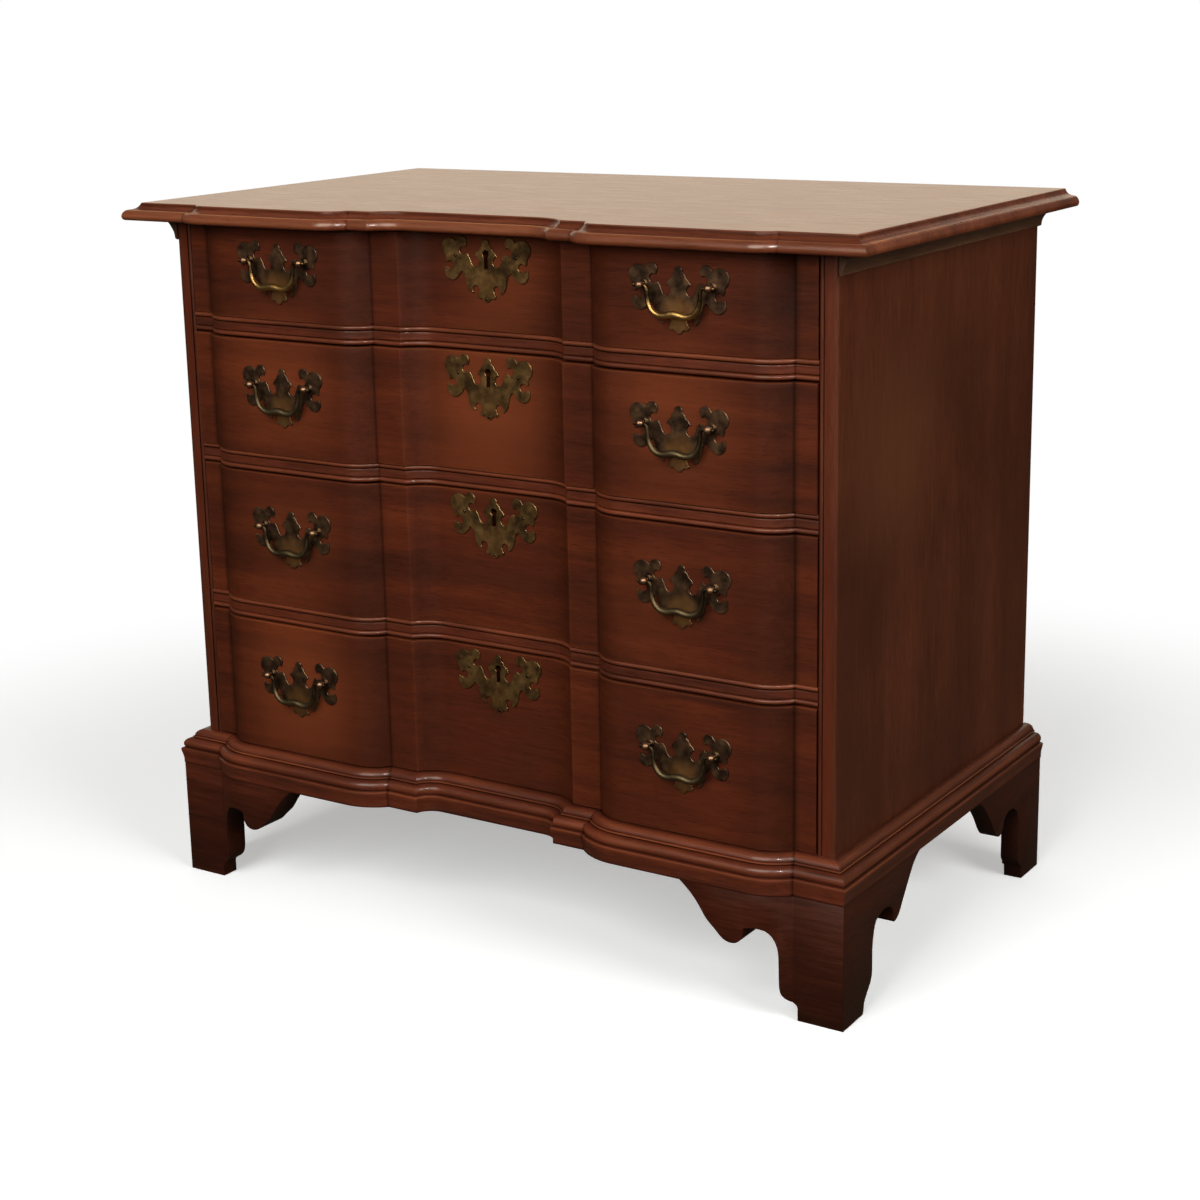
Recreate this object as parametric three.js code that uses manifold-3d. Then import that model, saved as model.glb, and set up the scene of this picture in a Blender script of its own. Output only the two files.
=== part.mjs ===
// Block front chest of four graduated drawers on bracket feet.
// Millimetres, +Z up, front towards -Y, standing on z = 0.
import * as THREE from 'three';
import { mergeVertices } from 'three/addons/utils/BufferGeometryUtils.js';
import Module from 'manifold-3d';

const wasm = await Module();
wasm.setup();

// Driving dimensions of the case
const caseWidth = 820.6;
const caseDepth = 485;
const sideThickness = 19.3;
const topThickness = 19;
const railThickness = 20.2;
const railWidth = 75;
const dustThickness = 10;
const bottomThickness = 18;
const backThickness = 10;
const backBoardCount = 4;
const backGrooveWidth = 3;
const backGrooveDepth = 2;
const baseMouldingHeight = 39.5;
const footHeight = 133;
const openingHeights = [102.3, 128.7, 151.9, 152.4];

// Clearances
const restGap = 0.3;
const sideGap = 1.2;
const drawerTopGap = 2.2;
const overrun = 4;

// Plan of the blocked front, measured from the face of the corner posts
const blockRise = 18.4;
const recessSink = 16.6;
const blockOuter = 366;
const blockInner = 138.4;
const recessEdge = 103;
const topRecessEdge = 112;
// The top's recess is cut a little left of the middle
const topRecessShift = -7;
const sweepRadius = 45;
const arcSteps = 4;

// Overhang of the top's upper arris and the moulding worked on its edge, whose bead keeps the radius
const topSideOverhang = 30.5;
const topEndOverhang = 21.5;
const topFrontOverhang = 12.6;
const topEdgeProjection = 16;
const coveHeight = 7.4;

// Bead worked on the inner front corner of each side
const cockBead = 4.4;
const postFaceSet = 0.7;

// Edge beads of the rails
const railBead = 5;
const railFlatSet = 1.1;

// Base moulding, bed moulding and feet
const baseProjection = 25.7;
const bandProjection = 22;
const bandHeight = 17;
const baseBackDepth = 25;
const bedHeight = 23;
const bedProjection = 18;
const footProjection = 21.6;
const bracketLength = 178;
const legWidth = 50;
const frontWaist = 67.6;
const sideWaist = 65.7;
const footBlock = 18;
const footBlockLift = 6;
const rearBoardThickness = 18;
const rearBoardLength = 120;

// Drawers
const drawerSetBacks = [0.5, -2, 0.5, -0.5];
const frontThickness = 36;
const drawerSideThickness = 11;
const drawerBackThickness = 11;
const drawerBottomThickness = 8;
const drawerBackSpace = 30;
const grooveDepth = 5;
const grooveLift = 10;
const lapLength = 18;
const tailWidth = 24;
const tailFlare = 3.5;
const tailPitch = 34;

// Pulls and escutcheons
const plateWidth = 112;
const plateHeight = 67;
const plateThickness = 1.6;
const plateDrop = 5.5;
const plateLifts = [0.3, 1.1, 2.4, 2];
const pullOffset = 250;
const postSpacing = 76.2;
const postLift = 13.5;
const postReach = 11;
const ballRadius = 4.4;
const neckRadius = 2.7;
const roseRadius = 4.8;
const bailDrop = 28.4;
const bailRadius = 3.8;
const pinRadius = 1.35;
const pinClearance = 0.35;
const knobRadius = 2;
const knobLength = 1.6;
const keyholeDrop = 23;
const keyholeRadius = 3.8;
const keyholeSlot = 5.6;
const keyholeLength = 19;
const keyholeDepth = 12;
const roundSides = 6;

// Colours and finishes
const mahogany = { color: 0x5a2818, roughness: 0.42, metalness: 0 };
const darkMahogany = { color: 0x452013, roughness: 0.42, metalness: 0 };
const poplar = { color: 0x9a7148, roughness: 0.75, metalness: 0 };
const brass = { color: 0x6a5430, roughness: 0.4, metalness: 1 };

// Values that follow from the driving dimensions
const halfCase = caseWidth / 2;
const openingHalf = halfCase - sideThickness;
const baseTop = footHeight + baseMouldingHeight;
const openings = [];
let level = baseTop;
for (let i = openingHeights.length - 1; i >= 0; i--) {
  openings[i] = { bottom: level, top: level + openingHeights[i] };
  level = openings[i].top + railThickness;
}
const topUnderside = openings[0].top;
const overallHeight = topUnderside + topThickness;
const frontReach = blockRise + topFrontOverhang + topEdgeProjection;
const frameShift = (caseDepth - frontReach) / 2;
const backInside = caseDepth - backThickness;
const drawerLength = caseDepth - drawerBackSpace;

// Adds a flat-sided solid through a stack of closed rings with equal point counts
function loft(rings, plane = 'xy') {
  const [a, b] = { xy: [0, 1], yz: [1, 2], zx: [2, 0] }[plane];
  const count = rings[0].length;
  const position = rings.flat(2);
  const index = [];
  const area = (p, q, r) => (q[a] - p[a]) * (r[b] - p[b]) - (r[a] - p[a]) * (q[b] - p[b]);
  let turn = 0;
  rings[0].forEach((p, i) => {
    const q = rings[0][(i + 1) % count];
    turn += p[a] * q[b] - q[a] * p[b];
  });
  const ccw = turn > 0;
  const cap = (ring, offset, up) => {
    const flat = ring.map((p) => new THREE.Vector2(p[a], p[b]));
    for (const [i, j, k] of THREE.ShapeUtils.triangulateShape(flat, [])) {
      const facesUp = area(ring[i], ring[j], ring[k]) > 0;
      index.push(...(facesUp === up ? [i, j, k] : [i, k, j]).map((n) => n + offset));
    }
  };
  cap(rings[0], 0, false);
  cap(rings[rings.length - 1], (rings.length - 1) * count, true);
  for (let r = 0; r < rings.length - 1; r++) {
    for (let i = 0; i < count; i++) {
      const j = (i + 1) % count;
      const [p, q, s, t] = [r * count + i, r * count + j, (r + 1) * count + i, (r + 1) * count + j];
      index.push(...(ccw ? [p, q, t, p, t, s] : [p, t, q, p, s, t]));
    }
  }
  const geometry = new THREE.BufferGeometry();
  geometry.setAttribute('position', new THREE.Float32BufferAttribute(position, 3));
  geometry.setIndex(index);
  return faceOutwards(geometry);
}

// Turns every triangle over when the solid's volume comes out negative
function faceOutwards(geometry) {
  const at = geometry.getAttribute('position');
  const index = geometry.getIndex().array;
  const [p, q, r] = [new THREE.Vector3(), new THREE.Vector3(), new THREE.Vector3()];
  let volume = 0;
  for (let i = 0; i < index.length; i += 3) {
    p.fromBufferAttribute(at, index[i]);
    q.fromBufferAttribute(at, index[i + 1]);
    r.fromBufferAttribute(at, index[i + 2]);
    volume += p.dot(q.cross(r));
  }
  if (volume < 0) {
    for (let i = 0; i < index.length; i += 3) {
      [index[i + 1], index[i + 2]] = [index[i + 2], index[i + 1]];
    }
  }
  return geometry;
}

// Conversions to and from the boolean library's solids
function solidOf(geometry) {
  const bare = geometry.clone();
  bare.deleteAttribute('normal');
  bare.deleteAttribute('uv');
  const merged = mergeVertices(bare);
  return new wasm.Manifold(new wasm.Mesh({
    numProp: 3,
    vertProperties: Float32Array.from(merged.getAttribute('position').array),
    triVerts: Uint32Array.from(merged.getIndex().array),
  }));
}

function geometryOf(solid) {
  const mesh = solid.getMesh();
  const geometry = new THREE.BufferGeometry();
  const points = [];
  for (let i = 0; i < mesh.numVert; i++) {
    points.push(...mesh.vertProperties.slice(i * mesh.numProp, i * mesh.numProp + 3));
  }
  geometry.setAttribute('position', new THREE.Float32BufferAttribute(points, 3));
  geometry.setIndex(Array.from(mesh.triVerts));
  return geometry;
}

// A board between two corners
function board(x0, x1, y0, y1, z0, z1) {
  const geometry = new THREE.BoxGeometry(x1 - x0, y1 - y0, z1 - z0);
  return geometry.translate((x0 + x1) / 2, (y0 + y1) / 2, (z0 + z1) / 2);
}

// A flat outline given in (u, v), run along the third axis
const runAlongX = (outline, x0, x1) =>
  loft([x0, x1].map((x) => outline.map(([y, z]) => [x, y, z])), 'yz');
const runAlongY = (outline, y0, y1) =>
  loft([y0, y1].map((y) => outline.map(([x, z]) => [x, y, z])), 'zx');
const runAlongZ = (outline, z0, z1) =>
  loft([z0, z1].map((z) => outline.map(([x, y]) => [x, y, z])), 'xy');

const mirrorX = (points) => points.map(([x, ...rest]) => [-x, ...rest]).reverse();

// Right half of the blocked line, from the centre outwards: recess, strip, block, end flat.
// Every part of it is moved outwards by offset, and the creases move along as they would.
function blockedHalf(levels, offset, hollowEdge) {
  const { end, block, strip, recess } = levels;
  const reach = (radius, rise) => Math.sqrt(2 * radius * rise - rise * rise);
  const arc = (centreX, centreY, radius, fromAngle, toAngle) => {
    const points = [];
    for (let i = 0; i <= arcSteps; i++) {
      const angle = fromAngle + ((toAngle - fromAngle) * i) / arcSteps;
      points.push([centreX + radius * Math.sin(angle), centreY + radius * Math.cos(angle)]);
    }
    return points;
  };
  const hollow = recess - strip;
  const innerRise = strip - block;
  const outerRise = end - block;
  const hollowRadius = sweepRadius - offset;
  const roundRadius = sweepRadius + offset;
  const hollowX = hollowEdge - reach(sweepRadius, hollow);
  const innerX = blockInner + reach(sweepRadius, innerRise);
  const outerX = blockOuter - reach(sweepRadius, outerRise);
  const hollowAngle = Math.asin(reach(hollowRadius, hollow) / hollowRadius);
  const innerAngle = Math.asin(reach(roundRadius, innerRise) / roundRadius);
  const outerAngle = Math.asin(reach(roundRadius, outerRise) / roundRadius);
  return [
    ...arc(hollowX, recess - sweepRadius, hollowRadius, 0, hollowAngle),
    ...arc(innerX, block + sweepRadius, roundRadius, Math.PI + innerAngle, Math.PI),
    ...arc(outerX, block + sweepRadius, roundRadius, Math.PI, Math.PI - outerAngle),
  ];
}

// The whole blocked line from left to right, ended at the given half width. The recess, the strips
// and the inner ends of the blocks are moved sideways by recessShift.
function blockedLine(levels, offset, halfWidth, hollowEdge = recessEdge, recessShift = 0) {
  const half = [...blockedHalf(levels, offset, hollowEdge), [halfWidth, levels.end - offset]];
  const blockMiddle = (blockInner + blockOuter) / 2;
  return [...mirrorX(half), ...half].map(([x, y]) => [Math.abs(x) < blockMiddle ? x + recessShift : x, y]);
}

const caseLevels = { end: 0, block: -blockRise, strip: 0, recess: recessSink };
const shifted = (levels, by) =>
  Object.fromEntries(Object.entries(levels).map(([key, value]) => [key, value + by]));

// Top board: arris, cove and half-round bead, as shares of the projection and of cove and bead heights
function topBoard() {
  const levels = {
    end: -topEndOverhang - topEdgeProjection,
    block: -frontReach,
    strip: -topFrontOverhang - topEdgeProjection,
    recess: recessSink - topFrontOverhang - topEdgeProjection,
  };
  const coveShares = [[0, 1], [0.08, 0.6], [0.25, 0.2], [0.5, 0.06]];
  const beadShares = [[0.66, 1], [0.9, 0.86], [1, 0.5], [0.94, 0.14], [0.78, 0]];
  const beadHeight = topThickness - coveHeight;
  const beadTop = overallHeight - coveHeight;
  const profile = [
    ...beadShares.map(([r, h]) => [r * topEdgeProjection, topUnderside + h * beadHeight]).reverse(),
    ...coveShares.map(([r, h]) => [r * topEdgeProjection, beadTop + h * coveHeight]).reverse(),
  ];
  const rings = profile.map(([r, z]) => {
    const edge = halfCase + topSideOverhang + r;
    const front = blockedLine(levels, r - topEdgeProjection, edge, topRecessEdge, topRecessShift);
    const line = [...front, [edge, caseDepth], [-edge, caseDepth]];
    return line.map(([x, y]) => [x, y, z]);
  });
  return loft(rings);
}

// One side of the case, with the bead on its inner front corner
function caseSide(hand) {
  const b = cockBead / 2;
  const inner = openingHalf;
  const beadShares = [[0, 1], [0.3, 0.3], [1, 0], [1.7, 0.3], [2, 1]];
  const outline = [
    [inner, caseDepth],
    ...beadShares.map(([x, y]) => [inner + x * b, y * b]),
    [inner + cockBead + postFaceSet, postFaceSet],
    [halfCase - postFaceSet, postFaceSet],
    [halfCase, 2 * postFaceSet],
    [halfCase, caseDepth],
  ];
  const placed = outline.map(([x, y]) => [hand * x, y]);
  return runAlongZ(placed, footHeight, topUnderside - restGap);
}

// Back of upright boards, grooved on the outside where they meet
function backPanel() {
  const half = openingHalf - restGap;
  const outline = [[-half, backInside], [half, backInside], [half, caseDepth]];
  for (let i = backBoardCount - 1; i > 0; i--) {
    const x = -half + (2 * half * i) / backBoardCount;
    outline.push([x + backGrooveWidth / 2, caseDepth]);
    outline.push([x, caseDepth - backGrooveDepth]);
    outline.push([x - backGrooveWidth / 2, caseDepth]);
  }
  outline.push([-half, caseDepth]);
  return runAlongZ(outline, footHeight, topUnderside - restGap);
}

function bottomBoard() {
  const half = openingHalf - restGap;
  return board(-half, half, baseBackDepth + restGap, backInside - restGap, baseTop - bottomThickness, baseTop);
}

// Rail below drawer i, blocked in plan and beaded along both edges
function rail(i) {
  const half = openingHalf - restGap;
  const bottom = openings[i].bottom - railThickness;
  const beadShares = [[0.26, 0], [0, 0.3], [0, 0.7], [0.42, 1]];
  const bead = beadShares.map(([r, h]) => [-r * railBead, h * railBead]);
  const flat = [[-railFlatSet, railBead * 1.12]];
  const lower = [...bead, ...flat];
  const upper = lower.map(([r, h]) => [r, railThickness - h]).reverse();
  const rings = [...lower, ...upper].map(([r, h]) => {
    const line = [...blockedLine(caseLevels, r, half), [half, railWidth], [-half, railWidth]];
    return line.map(([x, y]) => [x, y, bottom + h]);
  });
  return loft(rings);
}

function dustBoard(i) {
  const half = openingHalf - restGap;
  const top = openings[i].bottom;
  return board(-half, half, railWidth + restGap, backInside - restGap, top - dustThickness, top);
}

// Cove moulding under the top's overhang, as shares of its projection and height
function bedMoulding(hand) {
  const shares = [[0, 0], [0.3, 0.06], [0.3, 0.18], [0.36, 0.4], [0.55, 0.68], [0.8, 0.88], [1, 1], [0, 1]];
  const inner = halfCase + restGap;
  const bottom = topUnderside - restGap - bedHeight;
  const outline = shares.map(([r, h]) => [hand * (inner + r * bedProjection), bottom + h * bedHeight]);
  return runAlongY(outline, postFaceSet, caseDepth);
}

// Base moulding's section as [projection, height above the feet], bottom upwards
function baseSection() {
  const upper = baseMouldingHeight - bandHeight;
  const shares = [
    [1, 0], [1, 0.06], [0.72, 0.1], [0.82, 0.33], [0.72, 0.55], [0.57, 0.58], [0.57, 0.7],
    [0.45, 0.76], [0.3, 0.92], [0.06, 1],
  ];
  return [
    [bandProjection, 0],
    [bandProjection, bandHeight - restGap],
    ...shares.map(([r, h]) => [r * baseProjection, bandHeight + h * (upper - restGap)]),
  ];
}

// Front length of the base moulding, mitred at both corners
function baseFront() {
  const face = -restGap;
  const inner = openingHalf - restGap;
  const rings = baseSection().map(([r, h]) => {
    const line = blockedLine(caseLevels, r, halfCase + r - restGap);
    const back = [
      [halfCase - restGap, face], [inner, face], [inner, baseBackDepth],
      [-inner, baseBackDepth], [-inner, face], [-halfCase + restGap, face],
    ];
    return [...line, ...back].map(([x, y]) => [x, y, footHeight + h]);
  });
  return loft(rings);
}

// Side length of the base moulding, mitred at the front and square at the back
function baseSide(hand) {
  const section = baseSection();
  const inner = halfCase + restGap;
  const points = [[0, section[0][1]], ...section, [0, section[section.length - 1][1]]];
  const ring = (atBack) => points.map(([r, h], i) => {
    const x = i === 0 || i === points.length - 1 ? inner : halfCase + r;
    const y = atBack ? caseDepth : halfCase - x;
    return [hand * x, y, footHeight + h];
  });
  return loft([ring(false), ring(true)], 'zx');
}

// Scroll outline of a bracket: u runs inwards from the foot's outer corner, v up from the floor.
// It is a cyma above the toe, an upright waist, an arch, a drop and a swept shoulder.
function bracketOutline(waist) {
  const top = footHeight - restGap;
  const span = bracketLength - waist;
  const path = new THREE.Path();
  path.moveTo(0, 0);
  path.lineTo(legWidth, 0);
  path.lineTo(legWidth, top * 0.11);
  path.bezierCurveTo(legWidth, top * 0.2, waist, top * 0.17, waist, top * 0.28);
  path.lineTo(waist, top * 0.56);
  path.bezierCurveTo(waist, top * 0.7, waist + span * 0.12, top * 0.74, waist + span * 0.24, top * 0.73);
  path.bezierCurveTo(
    waist + span * 0.25, top * 0.64, waist + span * 0.33, top * 0.58, waist + span * 0.42, top * 0.57);
  path.bezierCurveTo(
    waist + span * 0.56, top * 0.6, waist + span * 0.7, top * 0.84, bracketLength, top);
  path.lineTo(0, top);
  const bends = 4;
  return path.getPoints(bends).map((p) => [p.x, p.y]);
}

// A foot: two mitred facings cut to the scroll, and the block glued in their corner.
// Built at the front right, then mirrored by hand.
function frontFoot(hand) {
  const top = footHeight - restGap;
  const outer = halfCase + footProjection;
  const startX = outer - bracketLength;
  const face = blockedLine(caseLevels, footProjection, outer).filter(([x]) => x > startX - overrun);
  const faceStart = blockedLine(caseLevels, footProjection, outer);
  const blockFace = Math.min(...faceStart.map(([, y]) => y));
  const plan = [[startX - overrun, blockFace], ...face, [outer, 0], [startX - overrun, 0]];
  const frontBlank = solidOf(runAlongZ(plan, 0, top));
  const scroll = bracketOutline(frontWaist).map(([u, v]) => [outer - u, v]);
  const frontCut = solidOf(runAlongY(scroll, blockFace - overrun, overrun));
  const sideScroll = bracketOutline(sideWaist).map(([u, v]) => [u - footProjection, v]);
  const side = solidOf(runAlongX(sideScroll, halfCase, outer));
  const block = solidOf(board(
    halfCase - footBlock, halfCase + restGap, -restGap, footBlock, footBlockLift, top));
  const foot = frontBlank.intersect(frontCut).add(side).add(block);
  return placedByHand(geometryOf(foot), hand);
}

// Rear foot: one scrolled side facing, a plain swept board across the back and the glued block
function rearFoot(hand) {
  const top = footHeight - restGap;
  const outer = halfCase + footProjection;
  const sideScroll = bracketOutline(sideWaist).map(([u, v]) => [caseDepth - u, v]);
  const side = solidOf(runAlongX(sideScroll, halfCase, outer));
  const boardOutline = [
    [outer, 0], [outer, top], [halfCase - rearBoardLength, top],
    [halfCase - rearBoardLength * 0.5, top * 0.8],
    [halfCase - rearBoardLength * 0.17, top * 0.62], [halfCase - rearBoardLength * 0.13, 0],
  ];
  const board1 = solidOf(runAlongY(boardOutline, caseDepth - rearBoardThickness, caseDepth));
  const block = solidOf(board(
    halfCase - footBlock, halfCase + restGap,
    caseDepth - rearBoardThickness - footBlock, caseDepth - overrun, footBlockLift, top));
  return placedByHand(geometryOf(side.add(board1).add(block)), hand);
}

function placedByHand(geometry, hand) {
  if (hand < 0) geometry.scale(-1, 1, 1);
  return faceOutwards(geometry);
}

// Even spacing of the dovetails over a drawer side's height
function tailCentres(height) {
  const count = Math.max(2, Math.floor(height / tailPitch));
  return Array.from({ length: count }, (_, i) => (height * (i + 0.5)) / count);
}

// Tail seen from the side: narrow at root, flared at tip, widened all round by grow
function tailOutline(root, tip, centre, grow) {
  const direction = Math.sign(tip - root);
  const narrow = tailWidth / 2 - tailFlare + grow;
  const wide = tailWidth / 2 + grow;
  const end = tip + direction * grow;
  return [[root, centre - narrow], [end, centre - wide], [end, centre + wide], [root, centre + narrow]];
}

// Sizes that the five boards of drawer i share
function drawerSizes(i) {
  const { bottom, top } = openings[i];
  const setBack = drawerSetBacks[i];
  const frontBack = setBack + frontThickness;
  return {
    setBack,
    frontBack,
    half: openingHalf - sideGap,
    bottom: bottom + restGap,
    height: top - bottom - restGap - drawerTopGap,
    end: setBack + drawerLength,
    lap: frontBack - lapLength,
  };
}

function drawerFront(i) {
  const d = drawerSizes(i);
  const line = blockedLine(shifted(caseLevels, d.setBack), 0, d.half);
  const plan = [...line, [d.half, d.frontBack], [-d.half, d.frontBack]];
  let front = solidOf(runAlongZ(plan, d.bottom, d.bottom + d.height));
  for (const centre of tailCentres(d.height)) {
    for (const hand of [-1, 1]) {
      const outline = tailOutline(d.frontBack + restGap, d.lap, d.bottom + centre, restGap);
      const inner = hand * (d.half - drawerSideThickness - restGap);
      const socket = runAlongX(outline, Math.min(inner, hand * (d.half + overrun)),
        Math.max(inner, hand * (d.half + overrun)));
      front = front.subtract(solidOf(socket));
    }
  }
  const groove = board(
    -d.half + drawerSideThickness - grooveDepth - restGap, d.half - drawerSideThickness + grooveDepth + restGap,
    d.frontBack - grooveDepth - restGap, d.frontBack + overrun,
    d.bottom + grooveLift - restGap, d.bottom + grooveLift + drawerBottomThickness + restGap);
  front = front.subtract(solidOf(groove));
  const keyhole = keyholeShape(0).map(([x, z]) => [x, z + openings[i].top - plateDrop]);
  const face = recessSink + d.setBack;
  front = front.subtract(solidOf(runAlongY(keyhole, face - overrun, face + keyholeDepth)));
  return geometryOf(front);
}

function drawerSide(i, hand) {
  const d = drawerSizes(i);
  const top = d.bottom + d.height;
  const root = d.frontBack + restGap;
  const backRoot = d.end - drawerBackThickness - restGap;
  const tails = tailCentres(d.height);
  const outline = [[root, d.bottom]];
  for (const centre of tails) outline.push(...tailOutline(root, d.lap, d.bottom + centre, 0));
  outline.push([root, top], [backRoot, top]);
  for (const centre of [...tails].reverse()) {
    outline.push(...tailOutline(backRoot, d.end, d.bottom + centre, 0).reverse());
  }
  outline.push([backRoot, d.bottom]);
  const inner = d.half - drawerSideThickness;
  const side = solidOf(runAlongX(outline, inner, d.half));
  const groove = board(
    inner - overrun, inner + grooveDepth + restGap, d.lap - overrun, d.end + overrun,
    d.bottom + grooveLift - restGap, d.bottom + grooveLift + drawerBottomThickness + restGap);
  return placedByHand(geometryOf(side.subtract(solidOf(groove))), hand);
}

function drawerBack(i) {
  const d = drawerSizes(i);
  const bottom = d.bottom + grooveLift + drawerBottomThickness + restGap;
  const start = d.end - drawerBackThickness;
  let back = solidOf(board(-d.half, d.half, start, d.end, bottom, d.bottom + d.height));
  for (const centre of tailCentres(d.height)) {
    for (const hand of [-1, 1]) {
      const outline = tailOutline(start - restGap, d.end, d.bottom + centre, restGap);
      const inner = hand * (d.half - drawerSideThickness - restGap);
      const socket = runAlongX(outline, Math.min(inner, hand * (d.half + overrun)),
        Math.max(inner, hand * (d.half + overrun)));
      back = back.subtract(solidOf(socket));
    }
  }
  return geometryOf(back);
}

function drawerBottom(i) {
  const d = drawerSizes(i);
  const half = d.half - drawerSideThickness + grooveDepth;
  const lift = d.bottom + grooveLift;
  return board(-half, half, d.frontBack - grooveDepth, d.end, lift, lift + drawerBottomThickness);
}

// Right half of the pierced batwing outline, top centre to bottom centre.
// Distances are shares of half the plate's width and height; bites and lobes are arcs.
function batwingHalf() {
  const wide = plateWidth / 2;
  const high = plateHeight / 2;
  const points = [];
  const to = (x, z) => points.push([x * wide, z * high]);
  // the arc's radius is a share of half the width, and its start and sweep are turns
  const arc = (x, z, radius, from, sweep, steps = 3) => {
    for (let k = 0; k <= steps; k++) {
      const angle = 2 * Math.PI * (from + (sweep * k) / steps);
      points.push([x * wide + radius * wide * Math.cos(angle), z * high + radius * wide * Math.sin(angle)]);
    }
  };
  to(0.055, 0.88);
  to(0.12, 0.72);
  to(0.19, 0.58);
  to(0.25, 0.435);
  arc(0.285, 0.27, 0.09, 0.361, 0.722);
  to(0.4, 0.475);
  arc(0.5, 0.525, 0.075, 0.639, 0.806);
  arc(0.53, 0.78, 0.142, 0.617, -0.556);
  arc(0.81, 0.62, 0.195, 0.361, -0.542, 4);
  arc(0.805, 0.1, 0.075, 0.144, 0.806);
  arc(0.8, -0.13, 0.16, 0.097, -0.569, 4);
  to(0.575, -0.05);
  to(0.505, -0.13);
  to(0.48, -0.36);
  to(0.37, -0.74);
  arc(0.255, -0.6, 0.08, -0.097, 0.722);
  arc(0.14, -0.8, 0.06, -0.028, -0.444, 2);
  arc(0, -0.9, 0.06, 0.028, -0.278, 2);
  return points;
}

// Keyhole outline below the top of its plate, round above and slotted below
function keyholeShape(drop) {
  const slot = keyholeSlot / 2;
  const centre = -keyholeDrop + (keyholeLength - keyholeRadius * 2) / 2 - drop;
  const start = Math.asin(slot / keyholeRadius);
  const points = [];
  for (let k = 0; k <= roundSides; k++) {
    const angle = start + ((2 * Math.PI - 2 * start) * k) / roundSides - Math.PI / 2;
    points.push([keyholeRadius * Math.cos(angle), centre + keyholeRadius * Math.sin(angle)]);
  }
  points.push([-slot, centre + keyholeRadius - keyholeLength], [slot, centre + keyholeRadius - keyholeLength]);
  return points;
}

// Plate standing 0 to plateThickness in front of y = 0, centred on x = 0 and z = 0
function batwingPlate() {
  const half = batwingHalf();
  const outline = [[0, plateHeight / 2 * 0.95], ...half, ...mirrorX(half)];
  return solidOf(runAlongY(outline, -plateThickness, 0));
}

// Round post with a rose, a neck and a ball end that the bail's pin passes through
function pullPost(x) {
  const ballTip = postReach + ballRadius;
  const profile = [
    [0, plateThickness / 2], [roseRadius, plateThickness / 2], [roseRadius, plateThickness * 1.6],
    [neckRadius, plateThickness * 2.2], [neckRadius, postReach - ballRadius * 0.85],
    [ballRadius * 0.9, postReach - ballRadius * 0.45], [ballRadius, postReach],
    [ballRadius * 0.9, postReach + ballRadius * 0.45], [ballRadius * 0.5, ballTip - ballRadius * 0.13],
    [0, ballTip],
  ];
  const lathe = new THREE.LatheGeometry(profile.map(([r, h]) => new THREE.Vector2(r, h)), roundSides);
  lathe.rotateX(Math.PI);
  lathe.translate(x, 0, postLift);
  const bore = new THREE.CylinderGeometry(
    pinRadius + pinClearance, pinRadius + pinClearance, 2 * ballRadius + overrun, roundSides);
  bore.rotateZ(Math.PI / 2);
  bore.translate(x, -postReach, postLift);
  return solidOf(lathe).subtract(solidOf(bore));
}

function pullPlate() {
  return geometryOf(batwingPlate().add(pullPost(-postSpacing / 2)).add(pullPost(postSpacing / 2)));
}

function escutcheon() {
  const keyhole = keyholeShape(0).map(([x, z]) => [x, z + plateHeight / 2]);
  const hole = solidOf(runAlongY(keyhole, -plateThickness - overrun, overrun));
  return geometryOf(batwingPlate().subtract(hole));
}

// Swan-neck bail about its pin axis at the origin: pins, shoulders, arms and a humped grip
function bail() {
  const half = postSpacing / 2;
  const shoulder = half - ballRadius - restGap;
  const pinEnd = half + ballRadius + restGap;
  const arm = bailRadius * 0.52;
  const armShares = [
    [0.95, -0.05, 0.45], [0.93, -0.28, 0.54], [0.91, -0.58, 0.68], [0.8, -0.84, 0.84],
    [0.62, -0.98, 0.96], [0.32, -0.99, 0.95], [0, -0.935, 1],
  ];
  const right = [
    [pinEnd + knobLength, 0, knobRadius * 0.6], [pinEnd + knobLength / 2, 0, knobRadius],
    [pinEnd, 0, knobRadius * 0.8], [pinEnd - restGap / 2, 0, pinRadius], [shoulder, 0, pinRadius],
    [shoulder - restGap, 0, arm], ...armShares.map(([x, z, r]) => [x * shoulder, z * bailDrop, r * bailRadius]),
  ];
  const path = [...right, ...right.slice(0, -1).map(([x, z, r]) => [-x, z, r]).reverse()];
  const rings = path.map(([x, z, r], i) => {
    const [ax, az] = path[Math.max(i - 1, 0)];
    const [bx, bz] = path[Math.min(i + 1, path.length - 1)];
    const size = Math.hypot(bx - ax, bz - az);
    const [nx, nz] = [-(bz - az) / size, (bx - ax) / size];
    return Array.from({ length: roundSides }, (_, k) => {
      const angle = (2 * Math.PI * k) / roundSides;
      return [x + r * nx * Math.cos(angle), r * Math.sin(angle), z + r * nz * Math.cos(angle)];
    });
  });
  return loft(rings, 'yz');
}

// The assembly
const chest = new THREE.Group();
chest.position.y = -frameShift;

function add(name, geometry, look, parent = chest, at = [0, 0, 0]) {
  const mesh = new THREE.Mesh(geometry, new THREE.MeshStandardMaterial(look));
  mesh.name = name;
  mesh.position.set(...at);
  parent.add(mesh);
}

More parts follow.
